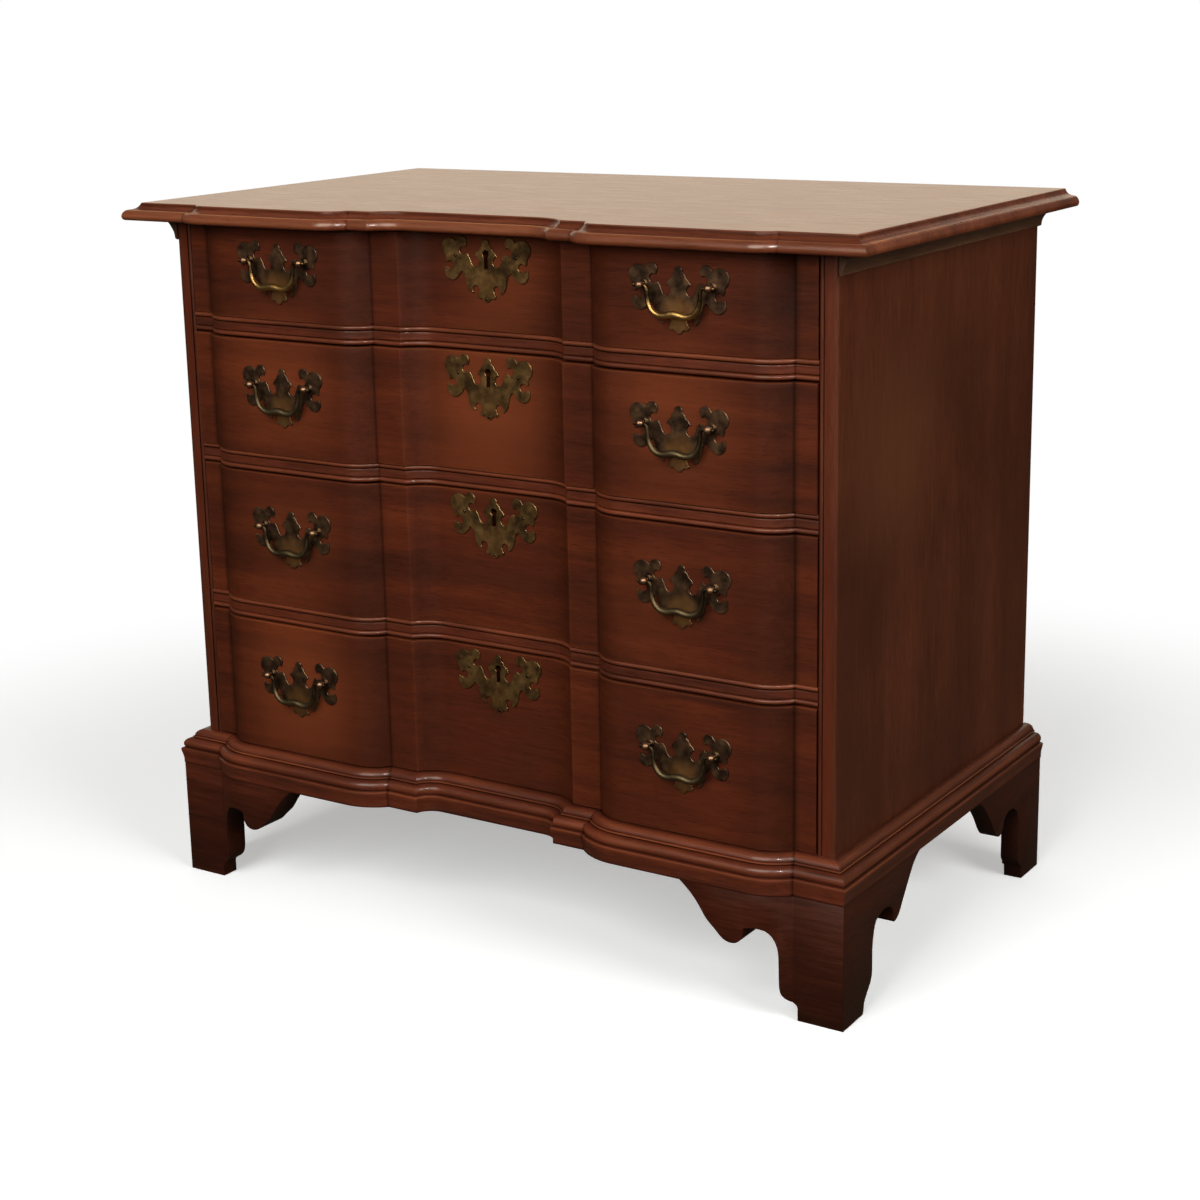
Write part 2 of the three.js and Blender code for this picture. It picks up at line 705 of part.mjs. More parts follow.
add('top_board', topBoard(), mahogany);
add('left_side', caseSide(-1), darkMahogany);
add('right_side', caseSide(1), darkMahogany);
add('back_panel', backPanel(), poplar);
add('bottom_board', bottomBoard(), poplar);
for (let i = 0; i < openings.length - 1; i++) {
  add(`rail_${i + 1}`, rail(i), mahogany);
  add(`dust_board_${i + 1}`, dustBoard(i), poplar);
}
add('left_bed_moulding', bedMoulding(-1), darkMahogany);
add('right_bed_moulding', bedMoulding(1), darkMahogany);
add('front_base_moulding', baseFront(), mahogany);
add('left_base_moulding', baseSide(-1), mahogany);
add('right_base_moulding', baseSide(1), mahogany);
add('front_left_foot', frontFoot(-1), mahogany);
add('front_right_foot', frontFoot(1), mahogany);
add('rear_left_foot', rearFoot(-1), mahogany);
add('rear_right_foot', rearFoot(1), mahogany);

openings.forEach((opening, i) => {
  const drawer = new THREE.Group();
  const name = `drawer_${i + 1}`;
  const d = drawerSizes(i);
  chest.add(drawer);
  add(`${name}_front`, drawerFront(i), mahogany, drawer);
  add(`${name}_left_side`, drawerSide(i, -1), poplar, drawer);
  add(`${name}_right_side`, drawerSide(i, 1), poplar, drawer);
  add(`${name}_back`, drawerBack(i), poplar, drawer);
  add(`${name}_bottom`, drawerBottom(i), poplar, drawer);
  const recessFace = recessSink + d.setBack - restGap;
  const plateHigh = opening.top - plateDrop - plateHeight / 2;
  add(`${name}_escutcheon`, escutcheon(), brass, drawer, [0, recessFace, plateHigh]);
  const blockFace = -blockRise + d.setBack - restGap;
  const pullHigh = (opening.top + opening.bottom) / 2 + plateLifts[i];
  for (const [hand, sideName] of [[-1, 'left'], [1, 'right']]) {
    const x = hand * pullOffset;
    add(`${name}_${sideName}_pull_plate`, pullPlate(), brass, drawer, [x, blockFace, pullHigh]);
    add(`${name}_${sideName}_bail`, bail(), brass, drawer, [x, blockFace - postReach, pullHigh + postLift]);
  }
});

export default chest;
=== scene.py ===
import math

import bmesh
import bpy
from mathutils import Matrix, Vector


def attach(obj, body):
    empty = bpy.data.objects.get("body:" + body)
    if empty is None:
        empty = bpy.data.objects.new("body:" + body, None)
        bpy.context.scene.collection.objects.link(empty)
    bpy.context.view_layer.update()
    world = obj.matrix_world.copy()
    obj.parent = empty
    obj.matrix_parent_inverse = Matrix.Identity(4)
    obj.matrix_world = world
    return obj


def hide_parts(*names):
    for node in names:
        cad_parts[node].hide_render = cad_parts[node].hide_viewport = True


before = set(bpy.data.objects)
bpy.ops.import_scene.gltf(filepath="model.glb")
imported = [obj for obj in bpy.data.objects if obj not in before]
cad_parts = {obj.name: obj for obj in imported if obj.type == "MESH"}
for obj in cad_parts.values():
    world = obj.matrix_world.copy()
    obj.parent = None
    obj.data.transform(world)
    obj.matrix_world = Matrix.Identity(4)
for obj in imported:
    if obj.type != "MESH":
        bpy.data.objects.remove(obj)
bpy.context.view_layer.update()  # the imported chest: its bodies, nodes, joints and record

# Sizes are in millimetres, with y = 0 at the face of the corner posts. metres() moves them to the frame.
case = {
    "half": 410.3, "depth": 485.0, "side": 19.3, "centreY": 219.0,
    "top": 787.4, "topUnder": 768.4, "footTop": 133.0,
    "openings": [(666.1, 768.4), (517.2, 645.9), (345.1, 497.0), (172.5, 324.9)],
}
gap = 0.3  # between pieces that meet
inside = case["half"] - case["side"]

# Plan of the blocked front: blocks stand proud, the middle is sunk, and arcs of one radius, the sweep, join them
blocking = {
    "block": 18.4, "recess": 16.6, "blockOuter": 366.0, "blockInner": 138.4, "sweep": 45.0, "steps": 14,
    # the valley creases are darker: dirt, and painted shade where the front turns in
    "nearCrease": 1.6, "ridgeWear": 0.08, "creaseDirtAndShade": -0.7,
}
# levels are those of the end flat, the block, the strip and the recess
caseLine = {"levels": (0.0, -18.4, 0.0, 16.6), "recessEdge": 103.0}
topLine = {"levels": (-37.5, -47.0, -28.6, -12.0), "recessEdge": 112.0, "recessShift": -7.0}


def metres(x, y, z):
    return Vector((x, y - case["centreY"], z)) / 1000


def hexColor(code):
    channels = [int(code[i:i + 2], 16) / 255 for i in (1, 3, 5)]
    return (*[c / 12.92 if c <= 0.04045 else ((c + 0.055) / 1.055) ** 2.4 for c in channels], 1.0)


def addNode(tree, kind, settings=None, links=None):
    made = tree.nodes.new(kind)
    for key, value in (settings or {}).items():
        if isinstance(key, str) and key[0].islower():
            setattr(made, key, value)
        else:
            made.inputs[key].default_value = value
    for key, source in (links or {}).items():
        tree.links.new(source, made.inputs[key])
    return made


def newMaterial(name):
    material = bpy.data.materials.new(name)
    material.use_nodes = True
    tree = material.node_tree
    tree.nodes.clear()
    return material, tree


# Object coordinates, and the same drawn out along the grain by a scale for each axis
def addPlace(tree, stretch):
    place = addNode(tree, "ShaderNodeTexCoord").outputs["Object"]
    return place, addNode(tree, "ShaderNodeMapping", {"Scale": stretch}, {"Vector": place}).outputs[0]


def noise(tree, place, mm, detail=2.0, roughness=0.5, distortion=0.0):
    return addNode(tree, "ShaderNodeTexNoise", {"Scale": 1000 / mm, "Detail": detail, "Roughness": roughness,
                   "Distortion": distortion}, {"Vector": place}).outputs[0]


def remap(tree, value, low, high, first=0.0, last=1.0, curve="LINEAR"):
    return addNode(tree, "ShaderNodeMapRange", {"interpolation_type": curve, "From Min": low, "From Max": high,
                   "To Min": first, "To Max": last}, {"Value": value}).outputs[0]


def calculate(tree, operation, *terms):
    numbers = {i: term for i, term in enumerate(terms) if isinstance(term, float)}
    sockets = {i: term for i, term in enumerate(terms) if i not in numbers}
    return addNode(tree, "ShaderNodeMath", {"operation": operation, **numbers}, sockets).outputs[0]


def distance(tree, place, spot):
    return addNode(tree, "ShaderNodeVectorMath", {"operation": "DISTANCE", 1: spot}, {0: place}).outputs["Value"]


def along(tree, place, axis):
    return addNode(tree, "ShaderNodeSeparateXYZ", None, {0: place}).outputs["XYZ".index(axis)]


def tint(tree, base, code, share):
    return addNode(tree, "ShaderNodeMix", {"data_type": "RGBA", 7: hexColor(code)}, {0: share, 6: base}).outputs[2]


def ramp(tree, value, stops):
    made = addNode(tree, "ShaderNodeValToRGB", None, {0: value})
    elements = made.color_ramp.elements
    for i, (place, code) in enumerate(stops):
        element = elements[i] if i < len(elements) else elements.new(place)
        element.position = place
        element.color = hexColor(code)
    return made.outputs[0]


def addBump(tree, height, strength, depth):
    return addNode(tree, "ShaderNodeBump", {"Strength": strength, "Distance": depth}, {"Height": height}).outputs[0]


def addSurface(tree, settings, links):
    shader = addNode(tree, "ShaderNodeBsdfPrincipled", settings, links)
    addNode(tree, "ShaderNodeOutputMaterial", None, {0: shader.outputs[0]})


# A float attribute is painted on the pieces: above 0 they are lighter, where hands rub the edges and, along the top's
# fillet, the rails' upper beads, the mitres and the plates' bevels, as a painted highlight; below 0 they are darker,
# where dirt settles and, in the valley creases, the rails' quirks, beneath the top's bead and along the base's lower
# joint, as painted shade.
def addWearAndShading(tree):
    return addNode(tree, "ShaderNodeAttribute", {"attribute_name": "wearAndShading"}).outputs["Fac"]


# Mahogany, stained and finished in old satin varnish: soft bands of figure, fine streaks 3.6 mm wide and short
# open pores along the grain. The pores are drawn 1.1 mm wide, coarser than real ones, so that they show.
def varnishedMahogany(name, look):
    material, tree = newMaterial(name)
    place, grain = addPlace(tree, look["stretch"])
    figure = noise(tree, grain, look["figureMm"], 3.0, 0.5, 0.5)
    streaks = noise(tree, grain, 3.6, 3.0, 0.65)
    pores = noise(tree, grain, 1.1, 1.0)
    clouds = noise(tree, place, look["cloudMm"], 4.0, 0.55)
    bands = addNode(tree, "ShaderNodeMix", {"data_type": "FLOAT", 0: look["streaks"]}, {2: figure, 3: streaks})
    color = ramp(tree, bands.outputs[0], [(0.3, look["dark"]), (0.5, look["mid"]), (0.7, look["light"])])
    poreMask = remap(tree, pores, 0.54, 0.66)
    color = tint(tree, color, look["pore"], calculate(tree, "MULTIPLY", poreMask, look["pores"]))
    color = tint(tree, color, look["dark"], remap(tree, clouds, 0.4, 0.68, 0.0, look["clouds"]))
    for spot, radius, share in look.get("sunnedAndSheen", ()):  # where light has faded the stain, and on the side one greyer spot of painted sheen; in metres
        away = distance(tree, place, spot)
        color = tint(tree, color, look["fadedAndSheen"], remap(tree, away, radius, 0.0, 0.0, share, "SMOOTHSTEP"))
    if "glazeAndShade" in look:  # darker where the front turns: the stain lies thicker there, and painted shade falls on the arcs and creases
        spread = remap(tree, calculate(tree, "ABSOLUTE", along(tree, place, "X")), 0.0, glazeAndShadeReach / 1000)
        stops = [(mm / glazeAndShadeReach, "#" + f"{share:02x}" * 3) for mm, share in look["glazeAndShade"]]
        color = tint(tree, color, look["dirtAndShade"], ramp(tree, spread, stops))
    if "floorShade" in look:  # darker towards the floor, from 125 mm down: painted shade, with some scuffing
        low = remap(tree, along(tree, place, "Z"), 0.125, 0.0, 0.0, look["floorShade"])
        color = tint(tree, color, look["dirtAndShade"], low)
    # lighter where rubbed and where a highlight is painted, darker where dirty and where shade is painted
    wearAndShading = addWearAndShading(tree)
    patches = remap(tree, figure, 0.35, 0.6, 0.5, 1.6)  # rubbed through unevenly
    rubbedAndLit = remap(tree, calculate(tree, "MULTIPLY", wearAndShading, patches), 0.0, 1.1, 0.0, 0.9)
    dirtAndShade = remap(tree, wearAndShading, 0.0, -1.0, 0.0, 0.9)
    color = tint(tree, tint(tree, color, look["wornAndLit"], rubbedAndLit), look["dirtAndShade"], dirtAndShade)
    dull = calculate(tree, "MAXIMUM", dirtAndShade, rubbedAndLit)
    relief = calculate(tree, "MULTIPLY_ADD", poreMask, -0.7, streaks)
    addSurface(tree, {"IOR": 1.5, "Coat Roughness": look["coatRoughness"]}, {
        "Base Color": color,
        "Roughness": remap(tree, streaks, 0.3, 0.7, look["roughness"] - 0.05, look["roughness"] + 0.07),
        "Specular IOR Level": remap(tree, dull, 0.0, 0.9, look["specular"], 0.0),
        "Coat Weight": remap(tree, dull, 0.0, 0.9, look["coat"], 0.0),
        "Normal": addBump(tree, relief, 0.1, 0.0005)})
    return material


# Poplar inside the chest, planed and never varnished: pale brown, dulled by age, matt. Its figure is 24 mm wide.
def bareBoard(name, stretch, tones):
    material, tree = newMaterial(name)
    place, grain = addPlace(tree, stretch)
    figure = noise(tree, grain, 24, 4.0, 0.62, 0.9)
    color = ramp(tree, figure, zip((0.33, 0.5, 0.66), tones))
    stains = remap(tree, noise(tree, place, 120, 4.0), 0.5, 0.75, 0.0, 0.5)
    addSurface(tree, {"Roughness": 0.72, "IOR": 1.45},
               {"Base Color": tint(tree, color, tones[0], stains), "Normal": addBump(tree, figure, 0.25, 0.0008)})
    return material


# Cast brass, lacquered long ago and now browned: a dark olive skin in spots of 11 mm, with yellow metal where
# it is rubbed, and a grain of 1.6 mm left by the casting, coarser than the real one so that it shows
def agedBrass(name, look):
    material, tree = newMaterial(name)
    place = addNode(tree, "ShaderNodeTexCoord").outputs["Object"]
    spots = noise(tree, place, 11, 5.0, 0.6)
    color = ramp(tree, spots, zip((0.36, 0.52, 0.7), look["tones"]))
    if "grip" in look:  # fingers have kept the lower middle of a plate yellow
        away = distance(tree, addNode(tree, "ShaderNodeUVMap", {"uv_map": "plate"}).outputs[0], (0.0, -0.16, 0.0))
        color = tint(tree, color, look["grip"], remap(tree, away, 0.25, 0.05, 0.0, look["gripShare"], "SMOOTHSTEP"))
    addSurface(tree, {"Metallic": look["metallic"]}, {
        "Base Color": tint(tree, color, look["rubbedAndLit"], addWearAndShading(tree)),
        "Roughness": remap(tree, spots, 0.3, 0.7, look["roughness"] - 0.07, look["roughness"] + 0.1),
        "Normal": addBump(tree, noise(tree, place, 1.6), 0.15, 0.0003)})
    return material


mahogany = {
    "dark": "#391a11", "mid": "#502415", "light": "#632e19", "pore": "#1d0a05", "wornAndLit": "#98583a", "dirtAndShade": "#100602",
    "figureMm": 30, "cloudMm": 130, "clouds": 0.5, "pores": 0.28, "streaks": 0.45,
    "roughness": 0.38, "specular": 0.3, "coat": 0.22, "coatRoughness": 0.1, "stretch": (0.07, 0.35, 1),
}
lengthways, upright = {"stretch": (1, 0.07, 1)}, {"stretch": (1, 1, 0.07)}
glazeAndShadeReach = 420  # from the centre to the end of the glaze and painted shade, in millimetres
frontWood = varnishedMahogany("mahoganySatinVarnishFront", {
    **mahogany, "streaks": 0.32, "coat": 0.04, "specular": 0.1, "roughness": 0.46, "fadedAndSheen": "#854527",
    # place from the centre, and how dark the glaze and painted shade are there, 0 to 255 as sRGB
    "glazeAndShade": [(0, 0), (50, 20), (96, 150), (104, 60), (134, 80), (139, 165), (170, 110), (205, 15), (295, 20),
              (340, 140), (366, 200), (372, 40)],
    # centre, radius and share
    "sunnedAndSheen": [((0.0, -0.21, 0.585), 0.13, 0.5), ((-0.25, -0.23, 0.25), 0.13, 0.5), ((-0.26, -0.23, 0.6), 0.12, 0.3),
               ((0.24, -0.23, 0.6), 0.12, 0.35), ((0.02, -0.21, 0.72), 0.09, 0.3), ((0.2, -0.23, 0.41), 0.1, 0.15),
               ((-0.25, -0.23, 0.42), 0.1, 0.2)],
})
# The top's tones are lighter than the other mahogany, partly a painted sheen for the pale look its varnish takes from
# reflected light
topWood = varnishedMahogany("mahoganySatinVarnishTop", {
    **mahogany, "dark": "#4a2110", "mid": "#65301c", "light": "#7d4128", "wornAndLit": "#b37c5a", "roughness": 0.3,
    "coat": 0.3, "specular": 0.5, "coatRoughness": 0.16, "stretch": (0.07, 1, 1), "figureMm": 34, "clouds": 0.35,
})
sideWood = varnishedMahogany("mahoganySatinVarnishSides", {
    **mahogany, **upright, "dark": "#3a1a0f", "mid": "#502818", "light": "#5f3322", "wornAndLit": "#6e2a16",
    "fadedAndSheen": "#6a432c", "figureMm": 60, "clouds": 0.8, "cloudMm": 240,
    # the spot high on the side is a painted sheen, greyer where the side reflects light near its top; the one at mid
    # height is a faded patch
    "sunnedAndSheen": [((0.41, -0.09, 0.56), 0.17, 0.4), ((0.41, 0.05, 0.72), 0.25, 0.12)],
})
railWood = varnishedMahogany("mahoganySatinVarnishMouldings", {
    **mahogany, "mid": "#5a2919", "light": "#6e3520", "figureMm": 18,
})
lengthWood = varnishedMahogany("mahoganySatinVarnishLengthways", {
    **mahogany, **lengthways, "mid": "#4b2618", "light": "#5e3322", "figureMm": 18,
})
dustyWood = varnishedMahogany("mahoganySatinVarnishDusty", {
    **mahogany, **lengthways, "dark": "#3d271b", "mid": "#563b2b", "light": "#6a4e3b", "wornAndLit": "#7d604a",
    "figureMm": 18,
})
# The feet take darker tones than the case: painted shade low down, and the side facings darker again, painted shade on
# faces turned from the lamps
footShadeLook = {**mahogany, "dark": "#260d06", "mid": "#3f180b", "light": "#522210", "floorShade": 0.45}
footShadedWood = varnishedMahogany("mahoganySatinVarnishFeet", footShadeLook)
footSideShadedWood = varnishedMahogany("mahoganySatinVarnishFeetLengthways", {
    **footShadeLook, **lengthways, "mid": "#35150a", "light": "#451d0f",
})
paleTones = "#6f4c2c", "#94693f", "#ab8153"
boardAcross = bareBoard("poplarBareAcross", (0.05, 1, 1), paleTones)
boardLengthways = bareBoard("poplarBareLengthways", (1, 0.05, 1), paleTones)
boardUpright = bareBoard("poplarBareUpright", (1, 1, 0.05), ("#54371f", "#765030", "#8f6840"))
brass = {"tones": ("#33261b", "#4d3a2b", "#634b34"), "rubbedAndLit": "#8f7650", "grip": "#8a643a",
         "gripShare": 0.85, "roughness": 0.4, "metallic": 0.8}
plateBrass = agedBrass("brassBrownedPlates", brass)
shieldBrass = agedBrass("brassBrownedEscutcheons", {
    **brass, "tones": ("#4a3822", "#67502f", "#7e633c"), "rubbedAndLit": "#85755c", "gripShare": 0.25,
})
# Lit and shaded copies of the bails' brass: the first, lighter, rubbed and painted lit, for the top drawer; the second,
# darker, is painted shade on the other bails and also serves the nails
bailBrassLit = agedBrass("brassRubbedLitBails", {
    "tones": ("#372b1c", "#503e27", "#665031"), "rubbedAndLit": "#b3925a", "roughness": 0.33, "metallic": 1.0,
})
dullBrass = agedBrass("brassDullBails", {
    "tones": ("#2a231a", "#3a3024", "#4a3e2c"), "rubbedAndLit": "#5f553f", "roughness": 0.46, "metallic": 1.0,
})
postBrass = agedBrass("brassCopperyPosts", {
    "tones": ("#2b2017", "#3d2e20", "#4d3a28"), "rubbedAndLit": "#80644f", "roughness": 0.4, "metallic": 1.0,
})
lockIron = agedBrass("ironLockPlates", {
    "tones": ("#26211c", "#3b342c", "#4d453a"), "rubbedAndLit": "#6b6255", "roughness": 0.5, "metallic": 0.9,
})
print("materials made")


def only(piece):
    bpy.ops.object.select_all(action="DESELECT")
    piece.select_set(True)
    bpy.context.view_layer.objects.active = piece


def addMesh(name, points, faces):
    mesh = bpy.data.meshes.new(name)
    mesh.from_pydata([metres(*point) for point in points], [], faces)
    piece = bpy.data.objects.new(name, mesh)
    bpy.context.collection.objects.link(piece)
    return piece


def editAll(piece, action="SELECT"):
    only(piece)
    bpy.ops.object.mode_set(mode="EDIT")
    bpy.ops.mesh.select_all(action=action)


def faceOutwards(piece):
    editAll(piece)
    bpy.ops.mesh.normals_make_consistent(inside=False)
    bpy.ops.object.mode_set(mode="OBJECT")
    return piece


def paintWearAndShading(piece, values):
    layer = piece.data.attributes.new("wearAndShading", "FLOAT", "POINT")
    layer.data.foreach_set("value", values)


def applyModifier(piece, kind, **settings):
    only(piece)
    bpy.ops.object.modifier_add(type=kind)
    modifier = piece.modifiers[-1]
    for key, value in settings.items():
        setattr(modifier, key, value)
    bpy.ops.object.modifier_apply(modifier=modifier.name)


def finish(piece, material, body, nodes=(), angle=32):
    only(piece)
    bpy.ops.object.shade_smooth_by_angle(angle=math.radians(angle))
    piece.data.materials.clear()
    piece.data.materials.append(material)
    if nodes:
        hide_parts(*nodes)
    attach(piece, body)
    return piece


def cut(piece, cutter, operation="DIFFERENCE"):
    applyModifier(piece, "BOOLEAN", object=cutter, operation=operation, solver="EXACT")
    bpy.data.objects.remove(cutter)


def joined(pieces, name):
    only(pieces[0])
    for piece in pieces:
        piece.select_set(True)
    bpy.ops.object.join()
    pieces[0].name = name
    return pieces[0]


# A board between two corners, its arrises eased
def addBoard(name, low, high, ease=0.8):
    size = [h - l for l, h in zip(low, high)]
    middle = [(l + h) / 2 for l, h in zip(low, high)]
    bpy.ops.object.select_all(action="DESELECT")
    bpy.ops.mesh.primitive_cube_add(size=1, location=metres(*middle))
    piece = bpy.context.object
    piece.name = name
    piece.scale = [s / 1000 for s in size]
    bpy.ops.object.transform_apply(location=True, rotation=True, scale=True)
    if ease:
        applyModifier(piece, "BEVEL", width=ease / 1000, segments=2, limit_method="NONE")
    return piece


# A solid through a stack of closed rings with equal point counts. A point is x, y, z and its wear, which also carries
# painted light and shade.
def loft(name, rings):
    count = len(rings[0])
    faces = []
    for r in range(len(rings) - 1):
        for i in range(count):
            j = (i + 1) % count
            faces.append((r * count + i, r * count + j, (r + 1) * count + j, (r + 1) * count + i))
    faces.append(tuple(range(count)))
    faces.append(tuple((len(rings) - 1) * count + i for i in range(count)))
    points = [point for ring in rings for point in ring]
    piece = addMesh(name, [point[:3] for point in points], faces)
    paintWearAndShading(piece, [point[3] for point in points])
    return faceOutwards(piece)


# A flat outline of two-number points, extruded between two places along an axis
def slab(name, outline, axis, start, end):
    lift = {"x": lambda a, b, t: (t, a, b), "y": lambda a, b, t: (a, t, b), "z": lambda a, b, t: (a, b, t)}[axis]
    piece = addMesh(name, [lift(a, b, start) for a, b in outline], [tuple(range(len(outline)))])
    editAll(piece)
    move = [c / 1000 for c in lift(0, 0, end - start)]
    bpy.ops.mesh.extrude_region_move(TRANSFORM_OT_translate={"value": move})
    bpy.ops.object.mode_set(mode="OBJECT")
    return faceOutwards(piece)


# Right half of the blocked line, moved outwards by offset: x, y and the wear that its creases take, dirt and painted
# shade in the valleys
def blockedHalf(plan, offset):
    end, block, strip, recess = plan["levels"]
    sweep, steps, near = blocking["sweep"], blocking["steps"], blocking["nearCrease"]

    def reach(radius, rise):
        return math.sqrt(2 * radius * rise - rise * rise)

    def arc(centreX, centreY, radius, first, last):
        angles = [first + (last - first) * i / steps for i in range(steps + 1)]
        return [(centreX + radius * math.sin(a), centreY + radius * math.cos(a), 0.0) for a in angles]

    hollowRadius, roundRadius = sweep - offset, sweep + offset
    hollowX = plan["recessEdge"] - reach(sweep, recess - strip)
    innerX = blocking["blockInner"] + reach(sweep, strip - block)
    outerX = blocking["blockOuter"] - reach(sweep, end - block)
    hollowTurn = math.asin(reach(hollowRadius, recess - strip) / hollowRadius)
    innerTurn = math.asin(reach(roundRadius, strip - block) / roundRadius)
    outerTurn = math.asin(reach(roundRadius, end - block) / roundRadius)
    hollow = arc(hollowX, recess - sweep, hollowRadius, 0, hollowTurn)
    inner = arc(innerX, block + sweep, roundRadius, math.pi + innerTurn, math.pi)
    outer = arc(outerX, block + sweep, roundRadius, math.pi, math.pi - outerTurn)
    ridge, valley = hollow[-1], [inner[0], outer[-1]]
    hollow[-1] = (ridge[0], ridge[1], blocking["ridgeWear"])
    inner[0] = (valley[0][0], valley[0][1], blocking["creaseDirtAndShade"])
    outer[-1] = (valley[1][0], valley[1][1], blocking["creaseDirtAndShade"])
    return [
        *hollow, (ridge[0] + near, ridge[1], 0.0),
        (valley[0][0] - near, valley[0][1], 0.0), *inner,
        *outer, (valley[1][0] + near, valley[1][1], 0.0),
    ]


# A closed ring at height z whose front is the blocked line and whose back corners are given right to left
def blockedRing(plan, offset, halfWidth, back, z, wearAndShading=0.0, creaseShare=1.0):
    half = [*blockedHalf(plan, offset), (halfWidth, plan["levels"][0] - offset, 0.0)]
    line = [(-x, y, w) for x, y, w in reversed(half)] + half
    shift = plan.get("recessShift", 0.0)
    middle = (blocking["blockInner"] + blocking["blockOuter"]) / 2
    ring = [(x + (shift if abs(x) < middle else 0.0), y, z, wearAndShading + w * creaseShare) for x, y, w in line]
    return ring + [(x, y, z, 0.0) for x, y in back]


topBoard = {
    "arrisHalf": 440.8, "beadOut": 16.0,
    # outwards from the arris, height, wear: rounded arris, cove, fillet and thumb-shaped bead. The light rows at the
    # fillet are a painted highlight where light from above catches it, the rows just under the arris are darker, and
    # the dark rows beneath the bead are painted shade.
    "section": [
        (-12, 787.35, 0), (-5, 787.35, 0), (-1.6, 787.3, 0), (-0.6, 787.1, 0.05), (0.0, 786.6, 0.1),
        (0.35, 785.8, -0.6), (0.8, 784.9, -0.6), (1.5, 783.8, -0.4), (2.5, 782.7, -0.1), (3.8, 781.7, 0),
        (5.4, 780.9, 0), (7.2, 780.35, 0.0), (8.6, 780.1, -0.1), (9.1, 779.9, -0.2), (9.5, 779.9, 0.7),
        (10.4, 779.95, 1.1), (11.6, 779.6, 0.4), (12.6, 779.05, 0.15), (13.3, 778.5, 0.1), (13.8, 778.0, 0.1),
        (14.7, 776.8, 0.1), (15.5, 775.2, 0.12), (15.9, 773.6, 0.16), (15.9, 772.0, 0.1), (15.4, 770.5, 0.05),
        (14.5, 769.3, -0.15), (13.2, 768.6, -0.3), (11.6, 768.4, -0.3), (0, 768.4, 0),
    ],
}


def makeTopBoard():
    rings = []
    for out, z, wearAndShading in topBoard["section"]:
        edge = topBoard["arrisHalf"] + out
        back = [(edge, case["depth"]), (-edge, case["depth"])]
        rings.append(blockedRing(topLine, out - topBoard["beadOut"], edge, back, z, wearAndShading, 0.5 if out > 0 else 0.0))
    finish(loft("moulded_top", rings), topWood, "case", ["top_board"], angle=30)


corner = {"bead": 2.2, "quirk": 2.4, "postFace": 0.6, "round": 3.0, "steps": 8,
          # inwards to the post's outer end, and the wear of the bead, the post and the outer corner
          "postEnd": 4.6, "beadWear": 0.07, "postWear": (0.25, 0.2), "roundWear": 0.06}


# Plan of a side: cock bead at the drawer openings, quirk, post face and eased outer corner
def makeSide(hand, name, node):
    bead, steps, face, r = corner["bead"], corner["steps"], corner["postFace"], corner["round"]
    near, far = corner["postWear"]
    half, depth = case["half"], case["depth"]
    plan = [(inside, depth, 0.0)]
    for i in range(steps + 1):
        a = math.pi * i / steps
        plan.append((inside + bead - bead * math.cos(a), bead - bead * math.sin(a), corner["beadWear"] * math.sin(a)))
    start = inside + 2 * bead
    plan += [(start + 0.1, corner["quirk"], -1.0), (start + 0.8, corner["quirk"], -1.0),
             (start + 1.0, face, near), (start + 1.6, face, near), (half - corner["postEnd"], face, far)]
    for i in range(steps // 2 + 1):
        a = math.pi / 2 * i / (steps // 2)
        plan.append((half - r + r * math.sin(a), face + r - r * math.cos(a), corner["roundWear"] * math.sin(2 * a)))
    plan += [(half, 7.0, 0.0), (half, depth - 1.5, 0.0), (half - 1.0, depth, 0.3)]  # flat to its rubbed back arris
    heights = [case["footTop"], case["topUnder"] - gap]
    rings = [[(hand * x, y, z, w) for x, y, w in plan] for z in heights]
    finish(loft(name, rings), sideWood, "case", [node])


rail = {"depth": 75.0, "height": 20.2, "bead": 2.45, "steps": 8, "beadWear": 0.15,
        # back from the face, up from the bead's top, wear: the quirk between bead and flat, darkened as dirt and
        # painted shade
        "quirk": [(2.65, 0.12, -0.6), (2.45, 0.3, -0.6), (1.1, 1.1, -0.3), (1.0, 1.3, -0.12), (1.0, 2.4, -0.08)],
        # how much darker the upper quirk is, painted shade under the upper bead, and how much lighter the upper bead, a
        # painted highlight where light from above falls
        "upperQuirkShade": 1.7, "upperBeadHighlight": 1.5}


# A rail's face: bead, quirk, flat, quirk and bead, from bottom to top. The upper quirk is painted darker, shade under
# the upper bead, and the upper bead lighter, a painted highlight.
def railSection():
    bead = rail["bead"]
    half = [(-bead * 1.6, 0.0, 0.0)]
    for i in range(rail["steps"] + 1):
        a = -math.pi / 2 + math.pi * i / rail["steps"]
        half.append((-bead + bead * math.cos(a), bead + bead * math.sin(a), rail["beadWear"] * math.cos(a)))
    half += [(-back, 2 * bead + up, wearAndShading) for back, up, wearAndShading in rail["quirk"]]
    return half + [(out, rail["height"] - up, wearAndShading * rail["upperQuirkShade" if wearAndShading < 0 else "upperBeadHighlight"])
                   for out, up, wearAndShading in reversed(half)]


def makeRails():
    half = inside - gap
    back = [(half, rail["depth"]), (-half, rail["depth"])]
    for i, opening in enumerate(case["openings"][:3]):
        low = opening[0] - rail["height"]
        rings = [blockedRing(caseLine, out, half, back, low + up, wearAndShading, 0.7) for out, up, wearAndShading in railSection()]
        finish(loft(f"beaded_rail_{i + 1}", rings), railWood, "case", [f"rail_{i + 1}"], angle=30)


